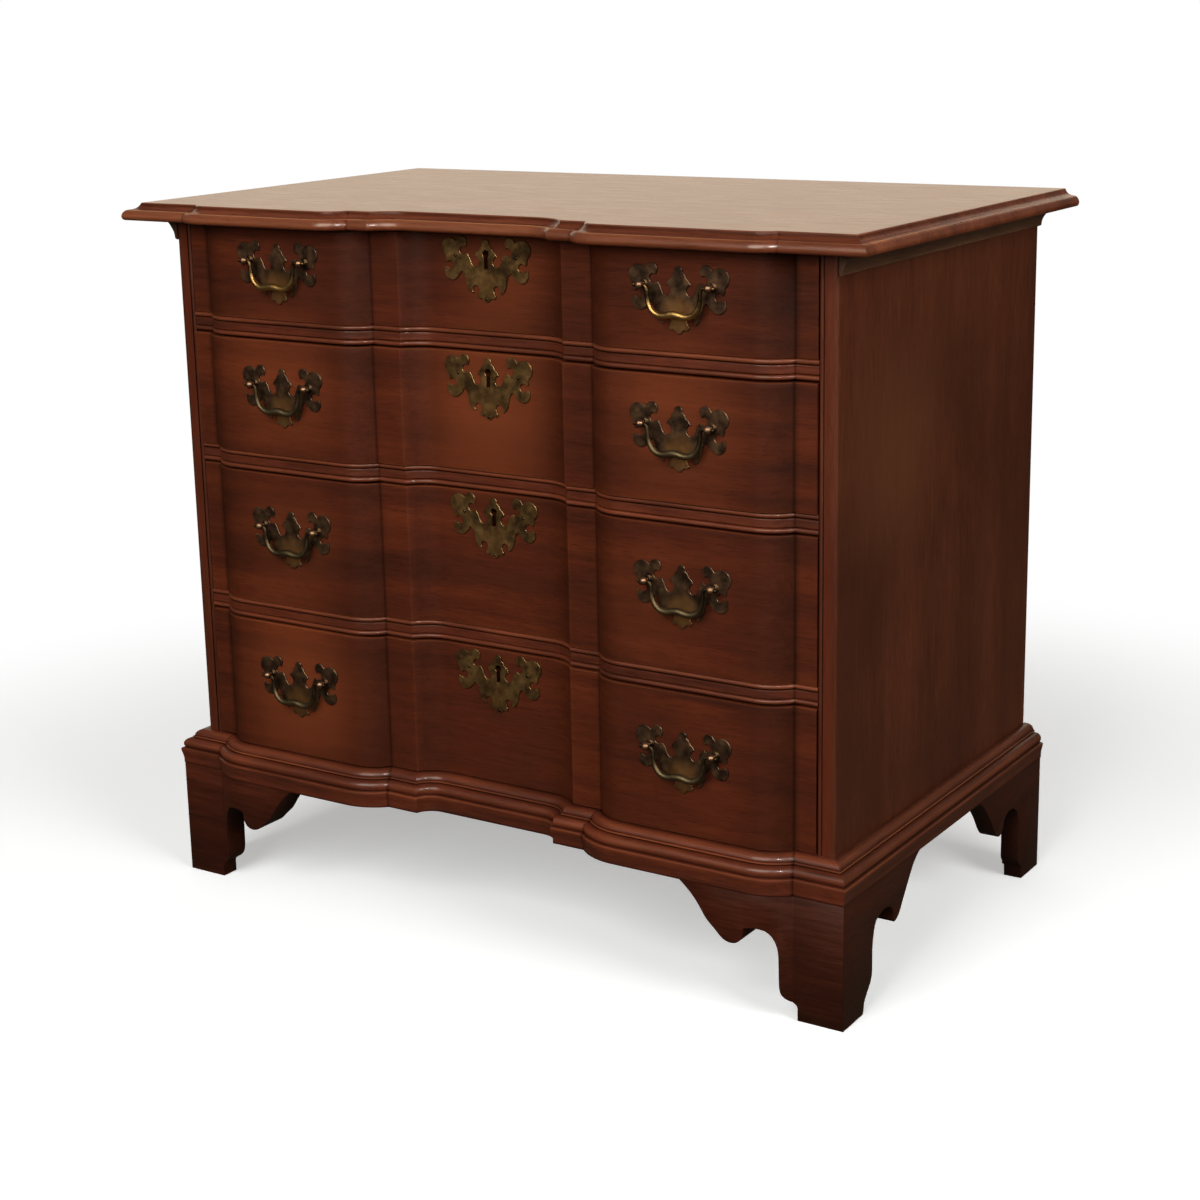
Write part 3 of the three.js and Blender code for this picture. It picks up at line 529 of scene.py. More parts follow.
bedMoulding = {
    "frontEnd": 0.8,
    # outwards from the side, height below the top board, wear
    "section": [(0.3, 23.0, 0), (1.6, 22.8, -0.2), (3.6, 22.0, 0.1), (4.0, 20.6, 0.2), (4.2, 19.0, 0.1), (4.6, 17.0, 0),
                (5.4, 14.6, 0), (6.7, 12.2, 0), (8.7, 9.6, 0), (10.5, 7.0, 0), (12.8, 4.6, 0), (15.2, 2.6, 0.2),
                (17.4, 1.2, 0.5), (17.9, 0.5, 0.2), (17.9, 0.3, 0), (0.3, 0.3, 0)],
}


def makeBedMoulding(hand, name, node):
    rings = [[(hand * (case["half"] + out), y, case["topUnder"] - down, wearAndShading)
              for out, down, wearAndShading in bedMoulding["section"]] for y in (bedMoulding["frontEnd"], case["depth"])]
    finish(loft(name, rings), dustyWood, "case", [node])


baseMoulding = {
    # the side mouldings' front ends are lighter over mitreEdge mm: rubbed corners and a painted highlight along the
    # mitre
    "backDepth": 25.0, "bottom": 133.0, "top": 172.2, "mitreRubAndHighlight": 0.2, "mitreEdge": 2.5,
    # outwards from the case, height, wear: band, fillet, torus, fillet and quarter-round. The dark rows at the band's
    # foot are a painted shadow line along its joint with the feet.
    "section": [
        (21.8, 133.0, -0.9), (22.0, 133.5, -0.5), (22.0, 135.5, 0), (22.1, 139.5, 0), (22.9, 143.5, 0),
        (23.7, 146.7, 0), (24.0, 149.0, 0.05), (24.1, 150.5, 0.25), (23.9, 151.2, 0.3), (23.2, 151.6, 0),
        (21.0, 151.9, -0.6), (20.3, 152.3, -0.7), (20.7, 152.9, -0.3), (21.3, 154.1, 0), (21.7, 155.7, 0.1),
        (21.6, 157.4, 0.14), (21.0, 159.2, 0.14), (19.9, 160.7, 0.05), (18.2, 161.9, 0), (16.0, 162.5, -0.2),
        (13.2, 162.7, -0.8), (12.6, 163.0, -0.8), (13.3, 163.2, -0.2), (13.8, 163.7, 0.3), (13.8, 164.6, 0.4),
        (13.4, 165.0, 0.1), (12.7, 165.3, -0.6), (12.1, 165.6, -0.5), (11.9, 166.8, 0), (11.3, 168.2, 0.05),
        (10.2, 169.7, 0.12), (8.6, 170.9, 0.12), (6.6, 171.7, 0.08), (4.2, 172.1, 0), (1.6, 172.2, -0.5),
    ],
}


def makeBaseMouldings():
    inner = inside - gap
    back = [(case["half"] - gap, -gap), (inner, -gap), (inner, baseMoulding["backDepth"]),
            (-inner, baseMoulding["backDepth"]), (-inner, -gap), (-case["half"] + gap, -gap)]
    rings = [blockedRing(caseLine, out, case["half"] + out - gap, back, z, wearAndShading, 0.9)
             for out, z, wearAndShading in baseMoulding["section"]]
    piece = loft("base_moulding_front_length", rings)
    finish(piece, railWood, "case", ["front_base_moulding"], angle=30)
    section = [(gap, baseMoulding["bottom"], 0), *baseMoulding["section"], (gap, baseMoulding["top"], 0)]
    for hand, side in ((-1, "left"), (1, "right")):
        rings = []
        for behind, extra in ((0.0, baseMoulding["mitreRubAndHighlight"]), (baseMoulding["mitreEdge"], 0.0), (None, 0.0)):
            rings.append([(hand * (case["half"] + out), case["depth"] if behind is None else behind - out,
                           z, wearAndShading + extra) for out, z, wearAndShading in section])
        piece = loft(f"base_moulding_{side}_length", rings)
        finish(piece, lengthWood, "case", [f"{side}_base_moulding"], angle=30)


foot = {
    "proud": 21.6, "top": 132.7, "ease": 0.9, "curveSteps": 9,
    "facingStart": 240, "scrollCut": (-60, 20),  # the front facing's inner end and how deep its scroll is cut
    "glueBlock": 18, "blockFoot": 36, "blockEase": 1.5,  # the front glue block's width, lower end and eased arris
    "rearBlock": (0.4, 9.0), "rearBlockDepth": (18.3, 30.0),  # the rear one, inwards from the side and the back
    # a plain board across the back: thickness, length, and the sweep of its lower edge
    "rearBoard": 18, "rearLength": 120, "rearSweep": 100, "rearFall": 50, "rearWave": 5, "rearSteps": 10,
    "rearToe": [(16, 55), (15.6, 0)],
}
# Scrolls as smooth runs between corners: u inwards from the foot's outer corner, v up from the floor.
# A run is its two handles and its end, and a pair alone is a straight line.
frontScroll = [(0, 0), (50.8, 0), (50.8, 13.5), ((51.5, 17.5), (57, 18.5), (61, 22)),
               ((65, 25.5), (67.3, 29), (67.4, 40)), (67.8, 66), ((67.9, 80), (72, 91.5), (80, 95.5)),
               ((86, 98), (98, 98.5), (103.5, 94.2)),
               ((102.5, 86), (106, 76.6), (117, 76.6)), ((124, 77), (127, 79.5), (131, 83.3)),
               ((137, 90), (143, 93.5), (147.5, 100)), ((154, 110.5), (160, 119), (167, 125)),
               ((169, 126.8), (172, 129.5), (176, 132.7)), (0, 132.7)]
sideScroll = [(0, 0), (44, 0), ((46, 1), (47, 4), (47.5, 10)), ((49, 16), (57, 22), (62, 29)),
              ((64.5, 33), (65.7, 36), (65.7, 44)), (65.7, 64), ((67, 76), (69.5, 86), (73.5, 90.8)),
              ((80, 95), (88, 97.2), (95, 97)),
              ((106, 96.5), (114, 90), (114.2, 81)), ((114.4, 78), (113.5, 74.4), (117, 74.2)),
              ((126, 75), (131, 83), (137, 92)), ((150, 108), (162, 129), (178, 132.7)), (0, 132.7)]
rearScroll = [(0, 0), (49, 0), (50, 12), ((51, 19), (60, 20), (60.5, 29)), (60.5, 66),
              ((60.5, 84), (68, 94), (84, 96.5)), ((94, 97.5), (102, 93), (105, 88)),
              ((105, 81), (110, 75), (117, 74.5)), ((128, 76), (134, 90), (144, 103)),
              ((154, 114), (165, 129), (177, 132.7)), (0, 132.7)]


def scrollPoints(scroll):
    points = []
    for item in scroll:
        if not isinstance(item[0], tuple):
            points.append(item)
            continue
        p0, (p1, p2, p3) = points[-1], item
        for i in range(1, foot["curveSteps"] + 1):
            t = i / foot["curveSteps"]
            weights = ((1 - t) ** 3, 3 * t * (1 - t) ** 2, 3 * t * t * (1 - t), t ** 3)
            points.append(tuple(sum(w * p[k] for w, p in zip(weights, (p0, p1, p2, p3))) for k in (0, 1)))
    return points


# Cuts the mitre at a foot's corner: the plane runs at 45 degrees through the case corner
def mitre(piece, hand, keepSide):
    editAll(piece)
    normal = Vector((hand, 1, 0)).normalized() * (1 if keepSide else -1)
    place = metres(hand * case["half"], 0, 0) + normal * 0.0001  # 0.1 mm short of the middle of the joint
    bpy.ops.mesh.bisect(plane_co=place, plane_no=normal, use_fill=True, clear_inner=True)
    bpy.ops.object.mode_set(mode="OBJECT")


def ease(piece):
    applyModifier(piece, "BEVEL", width=foot["ease"] / 1000, segments=2, limit_method="ANGLE",
                  angle_limit=math.radians(40))


def addGlueBlock(node, hand, x, y):
    low, high = sorted(hand * (case["half"] - inwards) for inwards in x)
    low, high = (low, y[0], foot["blockFoot"]), (high, y[1], foot["top"])
    block = addBoard(f"{node}_corner_block", low, high, foot["blockEase"])
    finish(block, boardUpright, "case", [node])


def makeFrontFoot(hand, side):
    outer = case["half"] + foot["proud"]
    node = f"front_{side}_foot"
    half = [*blockedHalf(caseLine, foot["proud"]), (outer, -foot["proud"], 0.0)]
    start = foot["facingStart"]
    face = [(x, y) for x, y, _ in half if x > start]
    plan = [(start, face[0][1]), *face, (outer, -gap), (start, -gap)]
    facing = slab(f"{node}_front_facing", [(hand * x, y) for x, y in plan], "z", 0, foot["top"])
    scroll = [(hand * (outer - u), v) for u, v in scrollPoints(frontScroll)]
    scroll = slab("scroll", scroll, "y", *foot["scrollCut"])
    cut(facing, scroll, "INTERSECT")
    mitre(facing, hand, False)
    ease(facing)
    finish(facing, footShadedWood, "case", [node], angle=30)
    points = [(u - foot["proud"], v) for u, v in scrollPoints(sideScroll)]
    flank = slab(f"{node}_side_facing", points, "x", hand * (case["half"] + gap), hand * outer)
    mitre(flank, hand, True)
    ease(flank)
    finish(flank, footSideShadedWood, "case", [node], angle=30)
    addGlueBlock(node, hand, (0, foot["glueBlock"]), (0, foot["glueBlock"]))


def makeRearFoot(hand, side):
    outer, depth = case["half"] + foot["proud"], case["depth"]
    node = f"rear_{side}_foot"
    points = [(depth - u, v) for u, v in scrollPoints(rearScroll)]
    flank = slab(f"{node}_side_facing", points, "x", hand * case["half"], hand * outer)
    ease(flank)
    finish(flank, footSideShadedWood, "case", [node], angle=30)
    inner, end = case["half"] - foot["rearLength"], case["half"] - gap
    plank = [(end, 0), (end, foot["top"]), (inner, foot["top"])]
    for i in range(1, foot["rearSteps"] + 1):
        t = i / foot["rearSteps"]
        fall = foot["rearFall"] * t + foot["rearWave"] * math.sin(2 * math.pi * t)
        plank.append((inner + foot["rearSweep"] * t, foot["top"] - fall))
    plank += [(case["half"] - inwards, z) for inwards, z in foot["rearToe"]]
    back = slab(f"{node}_rear_board", [(hand * x, z) for x, z in plank], "y", depth - foot["rearBoard"], depth)
    ease(back)
    finish(back, boardAcross, "case", [node])
    near, far = foot["rearBlockDepth"]
    addGlueBlock(node, hand, foot["rearBlock"], (depth - far, depth - near))


drawer = {
    "setBacks": [0.5, -2.0, 0.5, -0.5], "pullLifts": [0.3, 1.1, 2.4, 2.0], "keyholeDrop": 39,
    "overrun": 4,  # how far a cutter stands out of the wood
    "thickness": 36.0, "sideGap": 1.2, "topGap": 2.2,
    "board": 11.0, "lap": 18.0, "tailWidth": 24.0, "tailFlare": 3.5, "tailPitch": 34.0,
    "groove": 5.0, "grooveLift": 10.0, "bottom": 8.0,
    # outwards from the face, up from the edge, wear
    "edge": [(-1.2, 0.0, 0.1), (-0.5, 0.15, 0.22), (-0.12, 0.5, 0.2), (0.0, 1.2, 0.02), (0.0, 5.0, 0.0),
             (0.0, 16.0, 0.0)],
}
keyhole = {"radius": 3.9, "slot": 2.7, "top": 20.5, "bottom": 1.0, "steps": 20, "deep": 13}


def drawerSizes(i):
    low, high = case["openings"][i]
    setBack = drawer["setBacks"][i]
    return {"setBack": setBack, "back": setBack + drawer["thickness"], "half": inside - drawer["sideGap"],
            "bottom": low + gap, "top": high - drawer["topGap"],
            "pulls": (low + high) / 2 + drawer["pullLifts"][i], "keyhole": high - drawer["keyholeDrop"]}


# Keyhole about its plate's centre: a round head over a slot that widens a little
def keyholeOutline(grow=0.0):
    radius, slot = keyhole["radius"] + grow, keyhole["slot"] + grow
    centre = keyhole["top"] - keyhole["radius"]
    start = math.asin(min(0.95, slot * 0.8 / radius))
    points = []
    for i in range(keyhole["steps"] + 1):
        a = -math.pi / 2 + start + (2 * math.pi - 2 * start) * i / keyhole["steps"]
        points.append((radius * math.cos(a), centre + radius * math.sin(a)))
    return points + [(-slot, keyhole["bottom"] - grow), (slot, keyhole["bottom"] - grow)]


def makeDrawerFront(i):
    sizes = drawerSizes(i)
    back = [(sizes["half"], sizes["back"]), (-sizes["half"], sizes["back"])]
    line = {**caseLine, "levels": tuple(level + sizes["setBack"] for level in caseLine["levels"])}
    edges = [(out, sizes["bottom"] + up, wearAndShading) for out, up, wearAndShading in drawer["edge"]]
    edges += [(out, sizes["top"] - up, wearAndShading) for out, up, wearAndShading in reversed(drawer["edge"])]
    rings = [blockedRing(line, out, sizes["half"], back, z, wearAndShading, 0.8) for out, z, wearAndShading in edges]
    piece = loft(f"drawer_{i + 1}_blocked_front", rings)
    height = sizes["top"] - sizes["bottom"]
    count = max(2, int(height // drawer["tailPitch"]))
    wide = drawer["tailWidth"] / 2 + gap
    narrow = wide - drawer["tailFlare"]
    root, tip = sizes["back"] + gap, sizes["back"] - drawer["lap"] - gap
    cutters = []
    for k in range(count):
        z = sizes["bottom"] + height * (k + 0.5) / count
        outline = [(root, z - narrow), (tip, z - wide), (tip, z + wide), (root, z + narrow)]
        for hand in (-1, 1):
            ends = hand * (sizes["half"] - drawer["board"] - gap), hand * (sizes["half"] + drawer["overrun"])
            cutters.append(slab("socket", outline, "x", *sorted(ends)))
    reach = sizes["half"] - drawer["board"] + drawer["groove"] + gap
    low = sizes["bottom"] + drawer["grooveLift"] - gap
    cutters.append(addBoard("groove", (-reach, sizes["back"] - drawer["groove"] - gap, low),
                            (reach, sizes["back"] + drawer["overrun"], low + drawer["bottom"] + 2 * gap), 0))
    recessFace = sizes["setBack"] + blocking["recess"]
    hole = [(x, z + sizes["keyhole"]) for x, z in keyholeOutline(0.5)]
    cutters.append(slab("keyhole", hole, "y", recessFace - drawer["overrun"], recessFace + keyhole["deep"]))
    for cutter in cutters:
        cut(piece, cutter)
    finish(piece, frontWood, f"drawer_{i + 1}", [f"drawer_{i + 1}_front"], angle=30)


plate = {"thick": 1.6, "bevel": 0.55, "holeCut": (-4, 2), "arcSteps": 17.6,  # in a whole turn
         "pullX": 250, "nails": [(-38, 14), (38, 14), (0, -30)],
         "nailHead": [(0.0, 2.0), (0.5, 1.9), (0.9, 1.5), (1.2, 0.8)]}


# Right half of the plate, top centre to bottom centre, in millimetres from its centre
def plateHalf():
    points = []

    def line(*pairs):
        points.extend(pairs)

    def arc(x, z, radius, start, sweep):
        steps = max(3, int(abs(sweep) / 360 * plate["arcSteps"]))
        for i in range(steps + 1):
            a = math.radians(start + sweep * i / steps)
            points.append((x + radius * math.cos(a), z + radius * math.sin(a)))

    line((2.0, 31.6), (3.9, 30.2), (4.7, 28.2), (4.5, 26.4), (5.6, 25.2), (7.2, 23.8), (8.0, 21.6), (9.2, 19.8),
         (11.4, 18.2), (12.6, 16.4), (13.6, 14.6), (11.4, 13.6), (9.6, 11.8), (8.7, 9.2), (9.2, 6.4), (10.8, 4.2),
         (13.0, 3.0), (15.4, 3.6), (17.4, 5.6), (18.8, 8.6), (20.2, 12.4), (22.6, 16.2))
    arc(28.2, 19.4, 4.3, 222, 272)
    arc(30.0, 28.2, 6.4, 222, -176)
    line((37.4, 29.2))
    arc(45.4, 22.0, 10.4, 122, -178)
    line((50.6, 8.0), (49.4, 6.4))
    arc(44.6, 4.0, 4.4, 40, 286)
    line((50.2, 1.2), (51.4, 2.2))
    arc(43.6, -3.2, 8.8, 24, -158)
    line((34.4, -6.8), (32.2, -4.2), (31.4, -2.2), (29.2, -3.2), (27.2, -5.6), (26.0, -9.4), (25.2, -13.6),
         (23.8, -18.4), (21.4, -22.2), (18.2, -24.4))
    arc(13.2, -20.4, 4.3, -38, 262)
    line((10.2, -25.0))
    arc(8.6, -26.8, 2.9, 8, -138)
    arc(0.0, -29.2, 4.1, -18, -72)
    return points


def plateOutline():
    half = plateHalf()
    return [(0.0, 32.0), *half, *[(-x, z) for x, z in reversed(half[:-1])]]


# A plate standing on its face: the outline is extruded, and its front edge filed to a bevel
def addPlate(name, x, face, z, hole=False):
    piece = slab(name, [(x + u, z + v) for u, v in plateOutline()], "y", face, face - plate["thick"])
    if hole:
        hole = [(x + u, z + v) for u, v in keyholeOutline()]
        cut(piece, slab("hole", hole, "y", *(face + away for away in plate["holeCut"])))
    editAll(piece, "DESELECT")
    mesh = bmesh.from_edit_mesh(piece.data)
    front = metres(0, face - plate["thick"], 0).y
    for f in mesh.faces:
        f.select_set(f.normal.y < -0.9 and abs(f.calc_center_median().y - front) < 0.0001)
    bmesh.update_edit_mesh(piece.data)
    bpy.ops.mesh.region_to_loop()
    bpy.ops.mesh.bevel(offset=plate["bevel"] / 1000, segments=1, affect="EDGES", clamp_overlap=True)
    bpy.ops.object.mode_set(mode="OBJECT")
    # the filed bevel is lighter: rubbed brass and a painted glint along the edges
    paintWearAndShading(piece, [0.5 if v.co.y < front + plate["bevel"] / 2500 and abs(v.co.y - front) > 0.00002 else 0.0
                      for v in piece.data.vertices])
    # A map in units of 100 mm from the plate's centre tells the brass where fingers rub
    middle = metres(x, 0, z)
    layer = piece.data.uv_layers.new(name="plate")
    for loop in piece.data.loops:
        away = piece.data.vertices[loop.vertex_index].co - middle
        layer.data[loop.index].uv = (away.x * 10, away.z * 10)
    return piece


post = {"spacing": 76.2, "lift": 13.5, "reach": 11.0, "ball": 4.3, "steps": 28, "ballSteps": 10,
        # outwards from the plate's back, radius: rose, neck and ball
        "profile": [(0.8, 4.9), (1.9, 4.9), (2.3, 4.6), (2.6, 4.0), (2.9, 3.1), (3.6, 2.5), (5.0, 2.3), (6.4, 2.6)]}
bail = {"drop": 28.4, "bends": 6, "knobSteps": 16, "rubbedAndLit": 16,  # rubbed bright up to there from its lowest point
        # from the axis, right half: across, down, radius
        "path": [(33.4, 0.0, 1.7), (31.6, 0.7, 1.9), (30.2, 3.0, 2.0), (29.6, 7.0, 2.1), (29.2, 11.5, 2.3),
                 (28.3, 16.3, 2.55), (26.2, 21.0, 2.8), (22.8, 24.9, 3.0), (18.4, 27.5, 3.2), (13.4, 28.4, 3.35),
                 (9.0, 28.0, 3.5), (4.8, 27.1, 3.75), (0.0, 26.6, 3.85)],
        # across from the middle, radius: the pin through the post and its knob
        "knob": [(33.4, 1.5), (33.5, 1.35), (42.6, 1.35), (42.6, 1.9), (43.2, 2.3), (44.2, 2.2), (45.0, 1.6),
                 (45.4, 0.8)]}


# Turns a profile of (place, radius) about a line: vertices joined by a spin, its ends closed at the middle
def turned(name, profile, centre, axis, steps=12):
    ends = [(profile[0][0], 0.0), *profile, (profile[-1][0], 0.0)]
    side = {"x": lambda a, r: (a, 0, r), "y": lambda a, r: (0, -a, r)}[axis]
    points = [tuple(c + s for c, s in zip(centre, side(a, r))) for a, r in ends]
    piece = addMesh(name, points, [])
    piece.data.edges.add(len(points) - 1)
    for k, edge in enumerate(piece.data.edges):
        edge.vertices = (k, k + 1)
    editAll(piece)
    bpy.ops.mesh.spin(steps=steps, angle=2 * math.pi, center=metres(*centre),
                      axis={"x": (1, 0, 0), "y": (0, 1, 0)}[axis])
    bpy.ops.mesh.select_all(action="SELECT")
    bpy.ops.mesh.remove_doubles(threshold=0.00001)
    bpy.ops.object.mode_set(mode="OBJECT")
    return faceOutwards(piece)


# From where the ball leaves the neck, 65 degrees below its middle, to nearly its top
def ballProfile():
    points = []
    for i in range(post["ballSteps"]):
        a = -math.pi * 0.36 + math.pi * 0.84 * i / (post["ballSteps"] - 1)
        points.append((post["reach"] + post["ball"] * math.sin(a), post["ball"] * math.cos(a)))
    return points


def addPost(name, x, face, z):
    piece = turned(name, [*post["profile"], *ballProfile()], (x, face, z), "y", post["steps"])
    turn = metres(0, face - post["reach"] + post["ball"] * 0.8, 0).y
    paintWearAndShading(piece, [0.9 if v.co.y < turn else 0.05 for v in piece.data.vertices])
    return piece


# A bail as a curve whose thickness swells towards the grip, made a mesh, with its pins and knobs
def addBail(name, x, axisY, axisZ):
    right = bail["path"]
    path = [*right, *[(-u, v, r) for u, v, r in reversed(right[:-1])]]
    curve = bpy.data.curves.new(name, "CURVE")
    curve.dimensions = "3D"
    curve.bevel_depth = 0.001
    curve.bevel_resolution = 5
    curve.resolution_u = bail["bends"]
    curve.use_fill_caps = True
    spline = curve.splines.new("BEZIER")
    spline.bezier_points.add(len(path) - 1)
    for point, (u, down, radius) in zip(spline.bezier_points, path):
        point.co = metres(x + u, axisY, axisZ - down)
        point.handle_left_type = point.handle_right_type = "AUTO"
        point.radius = radius
    piece = bpy.data.objects.new(name, curve)
    bpy.context.collection.objects.link(piece)
    only(piece)
    bpy.ops.object.convert(target="MESH")
    parts = [bpy.context.object]
    for hand in (-1, 1):
        profile = [(hand * a, r) for a, r in bail["knob"]]
        parts.append(turned(f"{name}_end", profile, (x, axisY, axisZ), "x", bail["knobSteps"]))
    piece = joined(parts, name)
    low = metres(0, 0, axisZ - bail["drop"]).z
    rise = [(v.co.z - low) * 1000 / bail["rubbedAndLit"] for v in piece.data.vertices]
    paintWearAndShading(piece, [max(0.0, min(1.0, 1.0 - share)) for share in rise])
    return piece


def makeBrasses(i):
    sizes = drawerSizes(i)
    body = f"drawer_{i + 1}"
    face = sizes["setBack"] + blocking["recess"] - gap
    shield = addPlate(f"{body}_keyhole_plate", 0, face, sizes["keyhole"], hole=True)
    finish(shield, shieldBrass, body, [f"{body}_escutcheon"], angle=25)
    seat = face - plate["thick"] + 0.2  # the heads are let in a little
    nails = [turned("nail", plate["nailHead"], (x, seat, sizes["keyhole"] + z), "y") for x, z in plate["nails"]]
    finish(joined(nails, f"{body}_keyhole_plate_nails"), dullBrass, body, angle=50)
    face = sizes["setBack"] - blocking["block"] - gap
    axisZ = sizes["pulls"] + post["lift"]
    for hand, side in ((-1, "left"), (1, "right")):
        pull, node = f"{body}_{side}", [f"{body}_{side}_pull_plate"]
        x = hand * plate["pullX"]
        finish(addPlate(f"{pull}_batwing_plate", x, face, sizes["pulls"]), plateBrass, body, node, angle=25)
        posts = [addPost("post", x + k * post["spacing"] / 2, face, axisZ) for k in (-1, 1)]
        finish(joined(posts, f"{pull}_pull_posts"), postBrass, body, node, angle=50)
        swing = addBail(f"{pull}_swan_neck_bail", x, face - post["reach"], axisZ)
        # the top drawer's bails take a lighter copy of the brass, rubbed and painted lit where the lamps fall most; the
        # others take the darker dull brass, painted shade
        finish(swing, bailBrassLit if i == 0 else dullBrass, f"{pull}_bail", [f"{pull}_bail"], angle=60)


def dressInside():
    looks = {"back_panel": boardUpright, "bottom_board": boardAcross}
    for i in range(4):
        name = f"drawer_{i + 1}"
        looks[f"{name}_left_side"] = looks[f"{name}_right_side"] = boardLengthways
        looks[f"{name}_back"] = looks[f"{name}_bottom"] = boardAcross
        if i < 3:
            looks[f"dust_board_{i + 1}"] = boardAcross
    for node, material in looks.items():
        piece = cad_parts[node]
        piece.data.materials.clear()
        piece.data.materials.append(material)


lock = {"half": 34.0, "tall": 46.0, "deep": 9.0, "drop": 4.0,
        "coverHalf": 22.0, "coverDeep": 1.4, "coverTop": 10.0, "coverBottom": 42.0,  # down from the front's top
        "pinDrop": 9.0, "pin": [(-12.0, 1.2), (-3.0, 1.2), (-2.6, 0.8)]}
nut = {"half": 4.5, "deep": 3.2, "stud": [(0.0, 1.8), (-5.8, 1.8), (-6.4, 1.2)]}


# A box lock behind each keyhole, and the nuts that hold the pulls' posts
def makeLockAndNuts(i):
    sizes = drawerSizes(i)
    body = f"drawer_{i + 1}"
    back, top = sizes["back"], sizes["top"]
    box = addBoard("box", (-lock["half"], back + 0.2, top - lock["tall"] - lock["drop"]),
                   (lock["half"], back + lock["deep"], top - lock["drop"]), 0.8)
    cover = addBoard("cover", (-lock["coverHalf"], back + lock["deep"] - 0.2, top - lock["coverBottom"]),
                     (lock["coverHalf"], back + lock["deep"] + lock["coverDeep"], top - lock["coverTop"]), 0.5)
    high = sizes["keyhole"] + keyhole["top"] - keyhole["radius"] - lock["pinDrop"]
    pin = turned("pin", lock["pin"], (0, sizes["setBack"] + blocking["recess"], high), "y")
    finish(joined([box, cover, pin], f"{body}_box_lock"), lockIron, body, angle=40)
    nuts = []
    z, half = sizes["pulls"] + post["lift"], nut["half"]
    for hand in (-1, 1):
        for k in (-1, 1):
            x = hand * plate["pullX"] + k * post["spacing"] / 2
            low, high = (x - half, back + 0.1, z - half), (x + half, back + nut["deep"], z + half)
            nuts.append(addBoard("nut", low, high, 0.5))
            nuts.append(turned("stud", nut["stud"], (x, back, z), "y"))
    finish(joined(nuts, f"{body}_pull_nuts"), lockIron, body, angle=40)


# in metres; lift is the light that the floor adds to itself
stage = {"size": 60, "below": 0.0005, "shadowReach": 1.05, "fade": 0.75, "seen": "#e4f1ff", "lift": 0.38,
         "unseen": "#4a453e"}


def cameraSees(tree, seen, others):
    ray = addNode(tree, "ShaderNodeLightPath").outputs["Is Camera Ray"]
    return addNode(tree, "ShaderNodeMixShader", None, {0: ray, 1: others.outputs[0], 2: seen.outputs[0]}).outputs[0]


# The floor is paper white to the camera near the chest, where its shadow shows, and melts into the backdrop.
# Other rays meet a duller floor, so that it throws little light up at the feet.
def makeStage():
    bpy.ops.object.select_all(action="DESELECT")
    bpy.ops.mesh.primitive_plane_add(size=stage["size"], location=(0, 0, -stage["below"]))
    floor = bpy.context.object
    floor.name = "pale_floor"
    material, tree = newMaterial("paleStudioFloor")
    away = distance(tree, addNode(tree, "ShaderNodeTexCoord").outputs["Object"], (0, 0, 0))
    reach, fade = stage["shadowReach"], stage["fade"]
    fade = remap(tree, away, reach - fade / 2, reach + fade / 2, curve="SMOOTHSTEP")
    paper = addNode(tree, "ShaderNodeBsdfDiffuse", {"Color": hexColor(stage["seen"])})
    glow = addNode(tree, "ShaderNodeEmission", {"Color": (1, 1, 1, 1), "Strength": stage["lift"]})
    white = addNode(tree, "ShaderNodeEmission", {"Color": (1, 1, 1, 1), "Strength": 1.0})
    near = addNode(tree, "ShaderNodeAddShader", None, {0: paper.outputs[0], 1: glow.outputs[0]})
    seen = addNode(tree, "ShaderNodeMixShader", None, {0: fade, 1: near.outputs[0], 2: white.outputs[0]})
    dull = addNode(tree, "ShaderNodeBsdfDiffuse", {"Color": hexColor(stage["unseen"])})
    addNode(tree, "ShaderNodeOutputMaterial", None, {0: cameraSees(tree, seen, dull)})
    floor.data.materials.append(material)


worldLight = {"Color": hexColor("#fff3e4"), "Strength": 0.10}  # a warm room, dim beside the lamps


def makeWorld():
    world = bpy.data.worlds.new("studio")
    bpy.context.scene.world = world
    world.use_nodes = True
    tree = world.node_tree
    tree.nodes.clear()
    soft = addNode(tree, "ShaderNodeBackground", worldLight)
    white = addNode(tree, "ShaderNodeBackground", {"Color": (1, 1, 1, 1), "Strength": 1.0})
    addNode(tree, "ShaderNodeOutputWorld", None, {0: cameraSees(tree, white, soft)})


lamps = {
    # place and aim in metres, width and height, power in watts, colour, and whether it lights or only glints
    "softbox_front": ((0.1, -3.8, 2.6), (0, 0, 0.5), (2.6, 3.0), 175, "#fff2e2", True),
    "softbox_right": ((3.3, -0.9, 2.1), (0.3, 0, 0.5), (1.8, 2.0), 95, "#fff2e2", True),
    "glint_right": ((1.95, -2.3, 2.4), (0, -0.2, 0.5), (0.4, 0.4), 70, "#fff6ec", False),
    "window_behind": ((-2.8, 4.0, 1.7), (0, 0, 0.9), (7.0, 2.6), 60, "#ffe7cb", True),
}


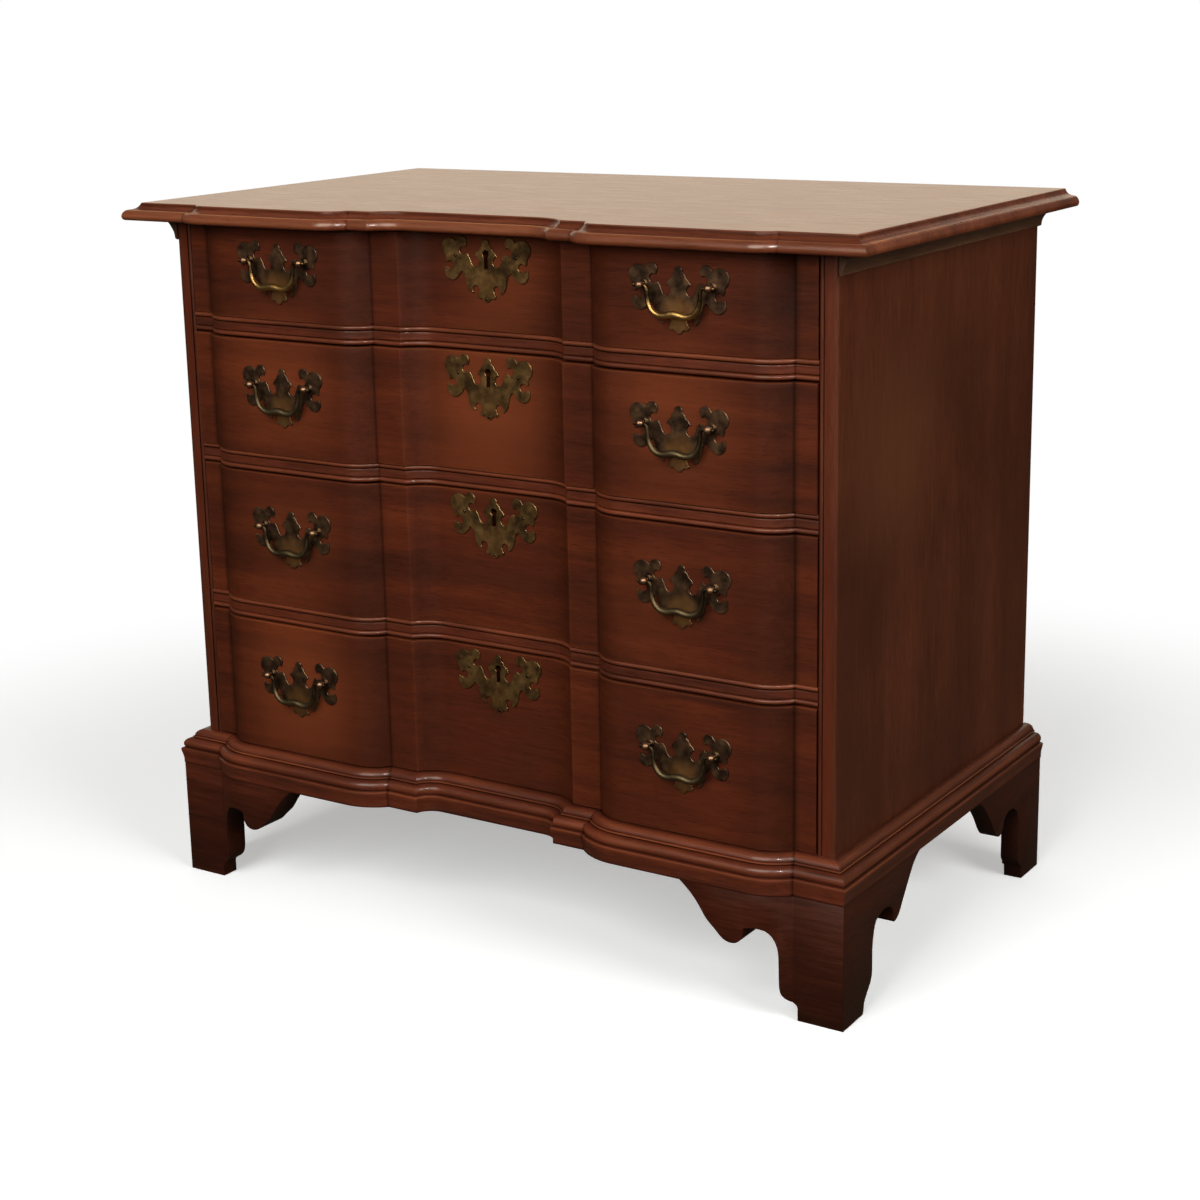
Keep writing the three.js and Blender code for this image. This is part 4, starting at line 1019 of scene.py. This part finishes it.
def makeLamps():
    for name, (place, aim, size, power, color, lights) in lamps.items():
        data = bpy.data.lights.new(name, "AREA")
        data.shape = "RECTANGLE"
        data.size, data.size_y = size
        data.energy = power
        data.color = hexColor(color)[:3]
        lamp = bpy.data.objects.new(name, data)
        lamp.location = place
        lamp.rotation_euler = (Vector(aim) - Vector(place)).to_track_quat("-Z", "Y").to_euler()
        lamp.visible_camera = False
        lamp.visible_diffuse = lights
        bpy.context.collection.objects.link(lamp)


# fitted to the photograph: place in millimetres, turns in radians, and the rest in pixels but for the sensor
camera = {"place": (1343.475, -1857.613, 1005.889), "yaw": 0.574, "pitch": 0.249, "roll": -0.02,
          "focal": 2241.207, "imageWidth": 1200, "axisRow": 560, "sensor": 36.0}


def makeCamera():
    yaw, pitch, roll = camera["yaw"], camera["pitch"], camera["roll"]
    forward = Vector((-math.sin(yaw) * math.cos(pitch), math.cos(yaw) * math.cos(pitch), -math.sin(pitch)))
    right = Vector((math.cos(yaw), math.sin(yaw), 0))
    up = right.cross(forward)
    across = right * math.cos(roll) + up * math.sin(roll)
    upward = up * math.cos(roll) - right * math.sin(roll)
    data = bpy.data.cameras.new("camera")
    data.sensor_width = camera["sensor"]
    data.lens = camera["focal"] / camera["imageWidth"] * camera["sensor"]
    data.shift_y = (camera["axisRow"] - camera["imageWidth"] / 2) / camera["imageWidth"]
    view = bpy.data.objects.new("camera", data)
    bpy.context.collection.objects.link(view)
    turn = Matrix((across, upward, -forward)).transposed()
    view.matrix_world = Matrix.Translation(metres(*camera["place"])) @ turn.to_4x4()
    bpy.context.scene.camera = view


makeCamera()
makeTopBoard()
makeSide(-1, "left_case_side", "left_side")
makeSide(1, "right_case_side", "right_side")
makeRails()
makeBedMoulding(-1, "cove_moulding_left", "left_bed_moulding")
makeBedMoulding(1, "cove_moulding_right", "right_bed_moulding")
makeBaseMouldings()
print("case made")
for hand, side in ((-1, "left"), (1, "right")):
    makeFrontFoot(hand, side)
    makeRearFoot(hand, side)
print("feet made")
for i in range(4):
    makeDrawerFront(i)
    makeBrasses(i)
    makeLockAndNuts(i)
    print(f"drawer {i + 1} made")
dressInside()
makeStage()
makeWorld()
makeLamps()
bpy.context.scene.view_settings.view_transform = "Standard"
print("stage, lamps and camera placed")
